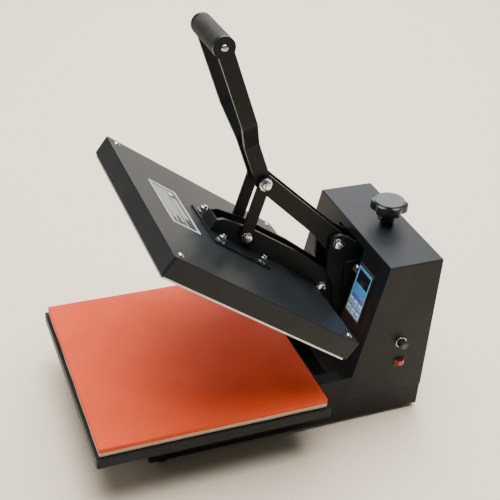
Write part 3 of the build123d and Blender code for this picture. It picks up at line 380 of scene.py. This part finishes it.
# %% Directions and places
ACROSS = Vector((1, 0, 0))
UPWARDS = Vector((0, 0, 1))
BACKWARDS = Vector((0, 1, 0))
TILT = radians(JOINTS["arm_hinge"]["range_deg"][1])
ARM_OUT = Vector((0, sin(TILT), cos(TILT)))
ARM_BACK = ARM_OUT.cross(ACROSS)
PANEL_OUT = -Vector(JOINTS["mode_press"]["axis"])
PANEL_UP = PANEL_OUT.cross(ACROSS)


def middle(node):
    low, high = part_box(node)
    return (low + high) / 2


def islands(node):
    """The separate solids of a part, each as a list of its points."""
    mesh = bmesh.new()
    mesh.from_mesh(NODES[node].data)
    bmesh.ops.remove_doubles(mesh, verts=mesh.verts, dist=0.001 * MM)
    left, found = set(mesh.verts), []
    while left:
        group, edge = set(), [left.pop()]
        while edge:
            vertex = edge.pop()
            group.add(vertex)
            for link in vertex.link_edges:
                other = link.other_vert(vertex)
                if other in left:
                    left.remove(other)
                    edge.append(other)
        found.append([v.co.copy() for v in group])
    mesh.free()
    return found


def outermost(points, way):
    """The middle of an island, moved along way to its outermost face."""
    low = Vector(min(p[i] for p in points) for i in range(3))
    high = Vector(max(p[i] for p in points) for i in range(3))
    centre = (low + high) / 2
    return centre + way * (max(p.dot(way) for p in points) - centre.dot(way))


def front_of(node, way):
    """The middle of a part, moved along way to its outermost face."""
    return outermost([v.co for v in NODES[node].data.vertices], way)


print("arm leans", round(TILT, 4), "spreader bolts", len(islands("spreader_bolts")))

# %% [markdown]
# ## Shapes from Geometry Nodes
# A bolt head is the same shape many times over, so it is a small tree of nodes, made once, with
# its sizes as inputs. The tree stands a copy on each point of a mesh and turns it to that
# point's aim. What comes out is turned into a plain mesh, because a renderer is happy with
# instances but an exported model isn't.


# %% A class for Geometry Nodes trees
class Shape(Nodes):
    """A Geometry Nodes tree whose named inputs are sizes in metres."""

    def __init__(self, name, *sizes):
        super().__init__(bpy.data.node_groups.new(name, "GeometryNodeTree"))
        face = self.tree.interface
        face.new_socket("Geometry", in_out="OUTPUT", socket_type="NodeSocketGeometry")
        face.new_socket("Geometry", in_out="INPUT", socket_type="NodeSocketGeometry")
        face.new_socket("Material", in_out="INPUT", socket_type="NodeSocketMaterial")
        for size in sizes:
            face.new_socket(size, in_out="INPUT", socket_type="NodeSocketFloat")
        self.given = self.tree.nodes.new("NodeGroupInput")

    def size(self, name):
        return Number(self, self.given.outputs[name])

    def moved(self, geometry, x=0.0, y=0.0, z=0.0):
        at = self.node("ShaderNodeCombineXYZ", None, x, y, z).out()
        return self.node("GeometryNodeTransform", None, Geometry=geometry, Translation=at).out()

    def drum(self, sides, radius, height, low=0.0):
        """A closed round bar that stands on the height low."""
        bar = self.node(
            "GeometryNodeMeshCylinder", {"fill_type": "NGON"}, Vertices=sides, Radius=radius, Depth=height
        ).out("Mesh")
        return self.moved(bar, z=height * 0.5 + low)

    def place(self):
        """The x, y and z of each point."""
        split = self.node("ShaderNodeSeparateXYZ", None, self.node("GeometryNodeInputPosition").out())
        return split.number("X"), split.number("Y"), split.number("Z")

    def put(self, geometry, x, y, z):
        at = self.node("ShaderNodeCombineXYZ", None, x, y, z).out()
        return self.node("GeometryNodeSetPosition", None, Geometry=geometry, Position=at).out()

    def joined(self, *parts):
        return self.node("GeometryNodeJoinGeometry", None, list(parts)).out()

    def close(self, shape):
        """Stands the shape on each given point along its aim, and ends the tree."""
        aim = self.node("GeometryNodeInputNamedAttribute", {"data_type": "FLOAT_VECTOR"}, Name="aim")
        turn = self.node("FunctionNodeAlignRotationToVector", {"axis": "Z"}, Vector=aim.out("Attribute"))
        copies = self.node(
            "GeometryNodeInstanceOnPoints", None, Points=self.given.outputs["Geometry"], Instance=shape,
            Rotation=turn.out(),
        ).out()
        real = self.node("GeometryNodeRealizeInstances", None, copies).out()
        painted = self.node(
            "GeometryNodeSetMaterial", None, Geometry=real, Material=self.given.outputs["Material"]
        ).out()
        self.tree.links.new(painted, self.tree.nodes.new("NodeGroupOutput").inputs[0])
        return self

    def make(self, name, aimed, material, **sizes):
        """One plain mesh with the shape on each (place, aim)."""
        base = bpy.data.meshes.new(name)
        base.from_pydata([at for at, _ in aimed], [], [])
        aims = base.attributes.new("aim", "FLOAT_VECTOR", "POINT")
        aims.data.foreach_set("vector", [c for _, aim in aimed for c in aim])
        piece = bpy.data.objects.new(name, base)
        bpy.context.collection.objects.link(piece)
        modifier = piece.modifiers.new(name, "NODES")
        modifier.node_group = self.tree
        for socket in self.tree.interface.items_tree:
            if socket.in_out == "INPUT" and socket.name in sizes:
                modifier[socket.identifier] = float(sizes[socket.name])
            elif socket.in_out == "INPUT" and socket.name == "Material":
                modifier[socket.identifier] = material
        ready = piece.evaluated_get(bpy.context.evaluated_depsgraph_get())
        made = bpy.data.meshes.new_from_object(ready)
        piece.modifiers.remove(modifier)
        piece.data = made
        made.shade_smooth()
        made.set_sharp_from_angle(angle=radians(32))
        return piece


def ridden(piece, body, slot, *nodes):
    """Hands a finished piece to its body and hides the parts that it stands for. The slot is not used."""
    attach(piece, body)
    if nodes:
        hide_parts(*nodes)
    print(piece.name, len(piece.data.polygons), "faces on", body)
    return piece


# %% [markdown]
# ### Nuts on studs
# A real nut is a hexagon cut by a shallow cone, which leaves a curved chamfer at each corner.
# The same rule makes it here: the rim of a round bar is pushed out to the hexagon, and its middle
# ring drops by the cone's slope times how far it was pushed.


# %% Nut tree
FACE_RING = 0.95                # where the chamfer meets the flat end, as a share of the nut
CHAMFER = 0.577                 # slope of the cone, tan 30 degrees


def nut_tree():
    s = Shape(
        "nut_on_stud", "washer", "washer_height", "nut", "nut_height", "stud", "proud", "shank", "length"
    )
    washer = s.drum(40, s.size("washer"), s.size("washer_height"))
    round_bar = s.node(
        "GeometryNodeMeshCylinder", {"fill_type": "NGON"}, Vertices=48, Side_Segments=2,
        Radius=s.size("nut"), Depth=s.size("nut_height"),
    ).out("Mesh")
    x, y, z = s.place()
    half = s.size("nut_height") * 0.5
    angle = y.math("ARCTAN2", x) + 2 * pi
    corner = angle.math("MODULO", pi / 3) - pi / 6
    hexagon = corner.math("COSINE").math("POWER", -1.0)
    top = z.math("GREATER_THAN", half * 0.5)
    ring = (z.math("ABSOLUTE")).math("LESS_THAN", half * 0.5)
    reach = hexagon + top * (FACE_RING - hexagon)
    drop = (hexagon - FACE_RING) * s.size("nut") * CHAMFER
    hexed = s.put(round_bar, x * reach, y * reach, z + ring * (half - drop))
    nut = s.moved(hexed, z=half + s.size("washer_height"))
    foot = s.size("washer_height") + s.size("nut_height")
    stud = s.drum(24, s.size("stud"), s.size("proud"), foot)
    tip = s.drum(24, s.size("stud") * 0.8, s.size("proud") * 0.25, foot + s.size("proud"))
    shank = s.drum(24, s.size("shank"), s.size("length"), s.size("length") * -1)
    return s.close(s.joined(washer, nut, stud, tip, shank))


nuts = nut_tree()


def bolt_ends(node, stack):
    """Both ends of a bolt that lies across the press, a stack of washer and nut in from its ends."""
    low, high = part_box(node)
    centre = (low + high) / 2
    out = high.x - stack
    return [(Vector((hand * out, centre.y, centre.z)), (hand, 0, 0)) for hand in (-1, 1)], out


def fit_nuts(name, node, body, washer, washer_height, nut, nut_height, stud, proud, shank, length=None):
    aimed, out = bolt_ends(node, washer_height + nut_height + proud)
    piece = nuts.make(
        name, aimed, chrome, washer=washer, washer_height=washer_height, nut=nut, nut_height=nut_height,
        stud=stud, proud=proud * 0.8, shank=shank, length=length or out,
    )
    return ridden(piece, body, "chrome_fastener", node)


# %% Nuts of the linkage
fit_nuts("knee_nuts", "knee_bolts", "links", 10.5 * MM, 3.2 * MM, 7.0 * MM, 6.0 * MM, 4 * MM, 2.6 * MM,
         6 * MM, 5.1 * MM)
fit_nuts("link_nuts", "link_bolt", "arm", 8.5 * MM, 1.6 * MM, 6.8 * MM, 6.0 * MM, 4 * MM, 2.6 * MM, 6 * MM)
fit_nuts("pivot_nuts", "lever_pivot_bolt", "yoke", 9.4 * MM, 2.9 * MM, 7.8 * MM, 6.1 * MM, 4 * MM, 2.6 * MM,
         6 * MM)
fit_nuts("cross_nuts", "arm_cross_bolt", "arm", 8 * MM, 1.2 * MM, 6.9 * MM, 4.4 * MM, 3 * MM, 0.6 * MM,
         5 * MM)

# %% Black washers, spreader bolts and tower nuts
black_washers = nuts.make(
    "pivot_washers", bolt_ends("lever_pivot_bolt", 11.6 * MM)[0], plate_black, washer=15 * MM,
    washer_height=2.4 * MM, nut=8 * MM, nut_height=0.2 * MM, stud=4 * MM, proud=0.1 * MM, shank=6 * MM,
    length=1 * MM,
)
ridden(black_washers, "yoke", "steel_plate_paint")

SPREADER_STACK = 12.0 * MM      # from the spreader's face to the end of its bolts
spreader_ends = [
    (outermost(points, ARM_OUT) - ARM_OUT * SPREADER_STACK, ARM_OUT) for points in islands("spreader_bolts")
]
spreader_nuts = nuts.make(
    "spreader_nuts", spreader_ends, chrome, washer=9 * MM, washer_height=1.6 * MM, nut=6.5 * MM,
    nut_height=6.4 * MM, stud=4 * MM, proud=3.2 * MM, shank=4 * MM, length=33 * MM,
)
ridden(spreader_nuts, "arm", "chrome_fastener", "spreader_bolts")

# %% [markdown]
# ### Domed screws
# Sheet metal is held with pan heads. The upper half of a ball, flattened, is the head, and two
# crossed bars are cut from it with a Boolean node for the driver.


# %% Screw tree
def screw_tree():
    s = Shape("domed_screw", "radius", "height", "slot", "length", "shank")
    ball = s.node(
        "GeometryNodeMeshUVSphere", None, Segments=32, Rings=16, Radius=s.size("radius")
    ).out("Mesh")
    x, y, z = s.place()
    rise = s.size("height") / s.size("radius")
    head = s.put(ball, x, y, z.math("MAXIMUM", 0.0) * rise)
    cuts = []
    for turned in (False, True):
        long, short = s.size("radius") * 1.15, s.size("slot")
        sides = (short, long) if turned else (long, short)
        size = s.node("ShaderNodeCombineXYZ", None, *sides, s.size("height")).out()
        bar = s.node("GeometryNodeMeshCube", None, Size=size).out("Mesh")
        cuts.append(s.moved(bar, z=s.size("height") * 0.98))
    cut = s.node(
        "GeometryNodeMeshBoolean", {"operation": "DIFFERENCE"}, Mesh_1=head, Mesh_2=cuts
    ).out("Mesh")
    shank = s.drum(16, s.size("shank"), s.size("length"), s.size("length") * -1)
    return s.close(s.joined(cut, shank))


screws = screw_tree()


def fit_screws(name, node, body, way, radius, height, slot, length, shank):
    """Domed heads on a part's own screws, facing along way, or outwards where way is None."""
    aimed = []
    for points in islands(node):
        aim = way or ACROSS * (1 if points[0].x > 0 else -1)
        aimed.append((outermost(points, aim) - aim * height, aim))
    piece = screws.make(
        name, aimed, chrome, radius=radius, height=height, slot=slot, length=length, shank=shank
    )
    return ridden(piece, body, "chrome_fastener", node)


# %% Screws of the cover, the grip and the rear panel
fit_screws("cover_heads", "cover_screws", "arm", ARM_OUT, 5 * MM, 2.6 * MM, 1.1 * MM, 28 * MM, 2.5 * MM)
fit_screws("grip_heads", "grip_screws", "lever", None, 5.6 * MM, 3.5 * MM, 1.2 * MM, 24 * MM, 4 * MM)
fit_screws("rear_heads", "rear_panel_screws", "frame", BACKWARDS, 4 * MM, 2 * MM, 0.9 * MM,
           6 * MM, 2 * MM)

tower_ends = [
    outermost(points, ACROSS * (1 if points[0].x > 0 else -1)) for points in islands("tower_fasteners")
    if abs(sum(p.x for p in points)) / len(points) > 10 * MM and points[0].z > 0.18
]
CAP_NUT_IN = 5 * MM             # how far a cap nut sits in from the end of its bolt
cap_aims = [(at, at.x / abs(at.x)) for at in tower_ends]
cap_nuts = screws.make(
    "tower_cap_nuts", [(at - ACROSS * hand * CAP_NUT_IN, (hand, 0, 0)) for at, hand in cap_aims], chrome,
    radius=8.6 * MM, height=7.4 * MM, slot=0.05 * MM, length=1 * MM, shank=4 * MM,
)
ridden(cap_nuts, "frame", "chrome_fastener")

# %% [markdown]
# ## Pad and sponge
# The silicone pad is cut from a thick sheet and the sponge under it from a softer one. Neither
# has a sharp edge or a perfectly straight side, so each starts as a box, gets a rolled edge, and
# is then moved a fraction of a millimetre by slow noise. Only inwards and down: the closed
# platen leaves the pad a very small gap.


# %% Padded sheets
SHEET_CUTS = 46                 # strips each way, fine enough to follow the noise
CORNER_R = 3 * MM               # upright corners of a cut sheet


def padded_sheet(name, node, material, slot, edge, wander, sag):
    low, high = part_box(node)
    mesh = bmesh.new()
    bmesh.ops.create_cube(mesh, size=1)
    for v in mesh.verts:
        v.co = Vector(high[i] if v.co[i] > 0 else low[i] for i in range(3))
    def rise(edge):
        return abs(edge.verts[0].co.z - edge.verts[1].co.z)

    upright = [e for e in mesh.edges if rise(e) > MM]
    bmesh.ops.bevel(mesh, geom=upright, offset=CORNER_R, segments=5, profile=0.5, affect="EDGES")
    rims = [e for e in mesh.edges if rise(e) < 0.01 * MM]
    bmesh.ops.bevel(mesh, geom=rims, offset=edge, segments=4, profile=0.5, affect="EDGES")
    for axis in (0, 1):
        for k in range(1, SHEET_CUTS):
            at = Vector((0, 0, 0))
            at[axis] = low[axis] + (high[axis] - low[axis]) * k / SHEET_CUTS
            way = Vector((0, 0, 0))
            way[axis] = 1
            bmesh.ops.bisect_plane(
                mesh, geom=mesh.verts[:] + mesh.edges[:] + mesh.faces[:], plane_co=at, plane_no=way
            )
    centre = (low + high) / 2
    for v in mesh.verts:
        inward = Vector((centre.x - v.co.x, centre.y - v.co.y, 0)).normalized()
        rim = max(abs(v.co[i] - centre[i]) / (high[i] - centre[i]) for i in (0, 1))
        drift = 0.5 + 0.5 * noise(v.co / (55 * MM) + Vector((3.1, 7.7, low.z * 90)))
        v.co += inward * wander * drift * max(0.0, rim * 10 - 9)
        if v.co.z > centre.z:
            v.co.z -= sag * (0.5 + 0.5 * noise(v.co / (80 * MM) + Vector((1.3, 9.1, 0))))
    bmesh.ops.recalc_face_normals(mesh, faces=mesh.faces)
    data = bpy.data.meshes.new(name)
    mesh.to_mesh(data)
    mesh.free()
    data.materials.append(material)
    data.shade_smooth()
    piece = bpy.data.objects.new(name, data)
    bpy.context.collection.objects.link(piece)
    ridden(piece, "frame", slot, node)
    return piece


padded_sheet("pad_sheet", "silicone_pad", orange, "silicone_orange", 1.6 * MM, 0.8 * MM, 0.25 * MM)
padded_sheet("sponge_sheet", "pad_backing", cream, "foam_cream", 1.2 * MM, 1.6 * MM, 0.0)

# %% [markdown]
# ## Lobed knob
# The hand knob is moulded with six lobes. Its outline is a circle that swells and narrows six
# times round, and its section is a squared-off oval, so a ball bent by those two rules gives the
# whole moulding with soft edges everywhere.


# %% Knob
SQUARENESS = 0.30               # power that squares off the section of the ball
LOBES = 6


def knob_tree():
    s = Shape("lobed_knob", "radius", "height", "lobe", "neck", "neck_height")
    ball = s.node(
        "GeometryNodeMeshUVSphere", None, Segments=144, Rings=48, Radius=1.0
    ).out("Mesh")
    x, y, z = s.place()
    level = (x * x + y * y).math("SQRT").math("MAXIMUM", 0.0001)
    wide = level.math("POWER", SQUARENESS)
    tall = z.math("ABSOLUTE").math("POWER", SQUARENESS) * z.math("SIGN")
    swell = (y.math("ARCTAN2", x) * LOBES).math("COSINE") * 0.5 + 0.5
    hollow = (1 - swell) ** 1.4
    reach = (s.size("radius") - hollow * s.size("lobe")) * wide / level
    body = s.put(ball, x * reach, y * reach, (tall * 0.5 + 0.5) * s.size("height"))
    disc = s.drum(64, s.size("radius") * 0.80, s.size("height") * 0.10, s.size("height") * 0.97)
    neck = s.drum(48, s.size("neck"), s.size("neck_height"), s.size("neck_height") * -1)
    return s.close(s.joined(body, disc, neck))


knob_low, knob_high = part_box("pressure_knob")
KNOB_R = (knob_high.x - knob_low.x) / 2
KNOB_NECK = 20.2 * MM
knob_height = (knob_high.z - knob_low.z - KNOB_NECK) * 0.92
knob_at = Vector((middle("pressure_knob").x, middle("pressure_knob").y, knob_low.z + KNOB_NECK))
knob = knob_tree().make(
    "lobed_knob", [(knob_at, UPWARDS)], knob_black, radius=KNOB_R, height=knob_height, lobe=6.4 * MM,
    neck=12 * MM, neck_height=KNOB_NECK,
)
ridden(knob, "knob", "plastic_black", "pressure_knob")

# %% [markdown]
# ## Printing
# Ink stands a few hundredths of a millimetre proud, so each printed mark is a very thin plate.
# A mark is drawn as an outline on its face, in millimetres right and up from the face's middle.


# %% Printed marks
class Face:
    """A flat face with its own right, up and outward directions."""

    def __init__(self, at, right, up):
        self.at, self.right, self.up, self.out = at, right, up, right.cross(up)

    def point(self, u, v, w):
        return self.at + self.right * u * MM + self.up * v * MM + self.out * w * MM


def bar(u, v, width, height):
    return [(u, v), (u + width, v), (u + width, v + height), (u, v + height)]


def disc(u, v, radius, start=0.0, turn=2 * pi, sides=24):
    steps = range(sides if turn >= 2 * pi else sides + 1)
    return [(u + radius * cos(start + turn * k / sides), v + radius * sin(start + turn * k / sides))
            for k in steps]


def outline(u, v, width, height, line):
    return [
        bar(u, v, width, line), bar(u, v + height - line, width, line),
        bar(u, v + line, line, height - 2 * line), bar(u + width - line, v + line, line, height - 2 * line),
    ]


def printed(name, face, outlines, material, body, slot, low=-0.03, high=0.05):
    """Thin closed plates with the given outlines, as one piece."""
    points, faces = [], []
    for marks in outlines:
        first, n = len(points), len(marks)
        points += [face.point(u, v, low) for u, v in marks] + [face.point(u, v, high) for u, v in marks]
        faces.append([first + k for k in reversed(range(n))])
        faces.append([first + n + k for k in range(n)])
        faces += [[first + k, first + (k + 1) % n, first + n + (k + 1) % n, first + n + k] for k in range(n)]
    data = bpy.data.meshes.new(name)
    data.from_pydata(points, [], faces)
    data.materials.append(material)
    piece = bpy.data.objects.new(name, data)
    bpy.context.collection.objects.link(piece)
    return ridden(piece, body, slot)


# %% Control panel
panel = Face(front_of("panel_overlay", PANEL_OUT), ACROSS, PANEL_UP)
PANEL_W = (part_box("panel_overlay")[1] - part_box("panel_overlay")[0]).x / MM
PANEL_H = (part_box("panel_overlay")[1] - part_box("panel_overlay")[0]).z / MM / PANEL_UP.z
print("panel", round(PANEL_W, 1), "by", round(PANEL_H, 1))
printed("panel_border", panel, outline(-PANEL_W / 2, -PANEL_H / 2, PANEL_W, PANEL_H, 2.0), overlay_pale,
        "frame", "overlay_blue")
BAND = (bar(-17, -14.2, 36, 7.4), bar(-17, -41.5, 30, 4.0))
printed("panel_band", panel, BAND, overlay_violet, "frame", "overlay_blue")
LAMPS = [disc(-14.5, 4.4, 1.5), disc(14.5, 3.2, 1.5)]
printed("panel_lamps", panel, LAMPS, key_mark, "frame", "overlay_blue")
display_face = Face(front_of("display_window", PANEL_OUT), ACROSS, PANEL_UP)


def seven_segments(u, v, width, height, line):
    """The seven bars of one digit, which stay dark while the press is off."""
    rows = [bar(u + line, v + k * (height - line) / 2, width - 2 * line, line) for k in range(3)]
    long = (height - 3 * line) / 2
    sides = [
        bar(u + a * (width - line), v + line + b * (long + line), line, long)
        for a in (0, 1) for b in (0, 1)
    ]
    return rows + sides


digits = [
    mark for row in (-8.5, 1.5) for k in range(4) for mark in seven_segments(-14 + k * 7.6, row, 5, 8, 0.8)
]
printed("display_segments", display_face, digits, display_grey, "frame", "overlay_blue")

KEY_MARKS = {
    "mode": [bar(-2.4, 1.0, 4.8, 0.8), bar(-2.4, -0.6, 4.8, 0.8), bar(-2.4, -2.2, 4.8, 0.8)],
    "up": [[(-2.4, -1.4), (2.4, -1.4), (0, 2.2)]],
    "down": [[(-2.4, 1.4), (0, -2.2), (2.4, 1.4)]],
    "set": [disc(0, 0, 2.2)],
    "start": [[(-1.6, -2.2), (2.2, 0), (-1.6, 2.2)]],
    "stop": [bar(-1.9, -1.9, 3.8, 3.8)],
}
for key, marks in KEY_MARKS.items():
    cap = f"{key}_button"
    cap_face = Face(front_of(cap, PANEL_OUT), ACROSS, PANEL_UP)
    body = JOINTS[f"{key}_press"]["child"]
    printed(f"{key}_mark", cap_face, marks, key_mark, body, "overlay_blue")

# %% [markdown]
# The cover carries a printed notice. Its words are left out, and plain bars stand for the lines
# of text inside the double outline.

# %% Notice on the cover
cover = Face(front_of("platen_cover", ARM_OUT), ACROSS, ARM_BACK)
HALF_COVER = (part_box("platen_cover")[1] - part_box("platen_cover")[0]).x / MM / 2
NOTICE_U, NOTICE_V, NOTICE_W, NOTICE_H = -80.0, 49.0 - HALF_COVER, 134.0, 55.0
lines = outline(NOTICE_U, NOTICE_V, NOTICE_W, NOTICE_H, 1.6)
lines += outline(NOTICE_U + 4, NOTICE_V + 4, NOTICE_W - 8, NOTICE_H - 8, 0.6)
lines.append(bar(NOTICE_U + 4, NOTICE_V + 32, NOTICE_W - 8, 0.8))
for row, (start, width) in enumerate(((10, 104), (10, 112), (10, 92), (10, 108))):
    lines.append(bar(NOTICE_U + start, NOTICE_V + 8.6 + row * 5.6, width, 1.4))
lines += [bar(NOTICE_U + 34, NOTICE_V + 37, 66, 1.4), bar(NOTICE_U + 34, NOTICE_V + 42, 66, 1.4)]
warning = ((12, 36), (24, 36), (18, 46))
lines.append([(NOTICE_U + u, NOTICE_V + v) for u, v in warning])
printed("cover_notice", cover, lines, white_ink, "arm", "black_paint")

# %% [markdown]
# ## Side fittings
# The rocker has a line and a ring moulded in white, the fuse cap a grey slotted face, and the
# inlet three brass blades.


# %% Marks on the rocker, the fuse cap and the inlet
def rocker_faces():
    """The two outward faces of the rocker: their middles and their normals."""
    mesh = NODES["switch_rocker"].data
    groups = {}
    for p in mesh.polygons:
        if p.normal.x > 0.8 and p.area > 4 * MM * MM:
            key = tuple(round(c, 2) for c in p.normal)
            groups.setdefault(key, []).append(p)
    flats = sorted(groups.values(), key=lambda g: -sum(p.area for p in g))[:2]
    for group in flats:
        area = sum(p.area for p in group)
        yield sum((p.center * p.area for p in group), Vector()) / area, group[0].normal.copy()


for at, out in sorted(rocker_faces(), key=lambda flat: flat[0].y):
    front_half = at.y < middle("switch_rocker").y
    face = Face(at, UPWARDS.cross(out).normalized(), UPWARDS)
    ring = [disc(0, 0, 2.0)] if not front_half else [bar(-0.35, -2.0, 0.7, 4.0)]
    printed("rocker_line" if front_half else "rocker_ring", face, ring, white_ink, "rocker", "overlay_blue")
    if not front_half:
        inner = [disc(0, 0, 1.3)]
        printed(
            "rocker_ring_middle", face, inner, rocker_red, "rocker", "overlay_blue", -0.02, 0.07
        )

cap_centre = middle("fuse_cap")
fuse_at = Vector((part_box("fuse_cap")[1].x, cap_centre.y, cap_centre.z))
fuse = Face(fuse_at, BACKWARDS, UPWARDS)
SLOT_ANGLE = 0.25
halves = [disc(0, 0, 3.6, SLOT_ANGLE + k * pi, pi - 2 * SLOT_ANGLE, 16) for k in (0, 1)]
printed("fuse_tip", fuse, halves, fuse_grey, "fuse_cap", "plastic_black", -0.1, 0.35)

INLET_LIP = 4 * MM              # the blades end this far inside the inlet's rim
inlet_centre = middle("mains_inlet")
mouth_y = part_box("mains_inlet")[1].y - INLET_LIP
mouth = Face(Vector((inlet_centre.x, mouth_y, inlet_centre.z)), -ACROSS, UPWARDS)
blades = [bar(u - 1.05, v - 2.05, 2.1, 4.1) for u, v in ((-7, -2), (0, 2), (7, -2))]
printed("inlet_blades", mouth, blades, brass, "frame", "plastic_black", -15, 0.4)

# %% [markdown]
# ## Studio
# A plain pale floor, a dim sky and three soft lamps keep the black paint readable: a large one
# overhead, one from the left and behind for the sheen on the tops, and a weak one in front.


# %% Floor, sky and lamps
AIM_AT = Vector((0, 0, 0.25))
LAMPS_OF_STUDIO = (             # name, place, size in metres, power in watts
    ("key", (-0.4, 0.3, 3.4), 3.4, 290),
    ("sheen", (-3.3, 1.5, 2.3), 3.0, 130),
    ("fill", (-1.8, -2.4, 1.8), 1.6, 12),
)


def studio():
    bpy.ops.mesh.primitive_plane_add(size=30)
    floor = bpy.context.object
    floor.name = "studio_floor"
    f = Finish("studio_floor", (0.97, 0.83, 0.64), 0.95, Specular_IOR_Level=0.1)
    floor.data.materials.append(f.material)
    world = bpy.data.worlds.new("studio_sky")
    bpy.context.scene.world = world
    world.use_nodes = True
    sky = world.node_tree.nodes["Background"]
    sky.inputs["Color"].default_value = (1.0, 0.98, 0.96, 1)
    sky.inputs["Strength"].default_value = 0.14
    for name, at, size, power in LAMPS_OF_STUDIO:
        data = bpy.data.lights.new(name, "AREA")
        data.energy, data.size = power, size
        lamp = bpy.data.objects.new(name, data)
        lamp.location = at
        lamp.rotation_euler = (AIM_AT - Vector(at)).to_track_quat("-Z", "Y").to_euler()
        bpy.context.collection.objects.link(lamp)


studio()
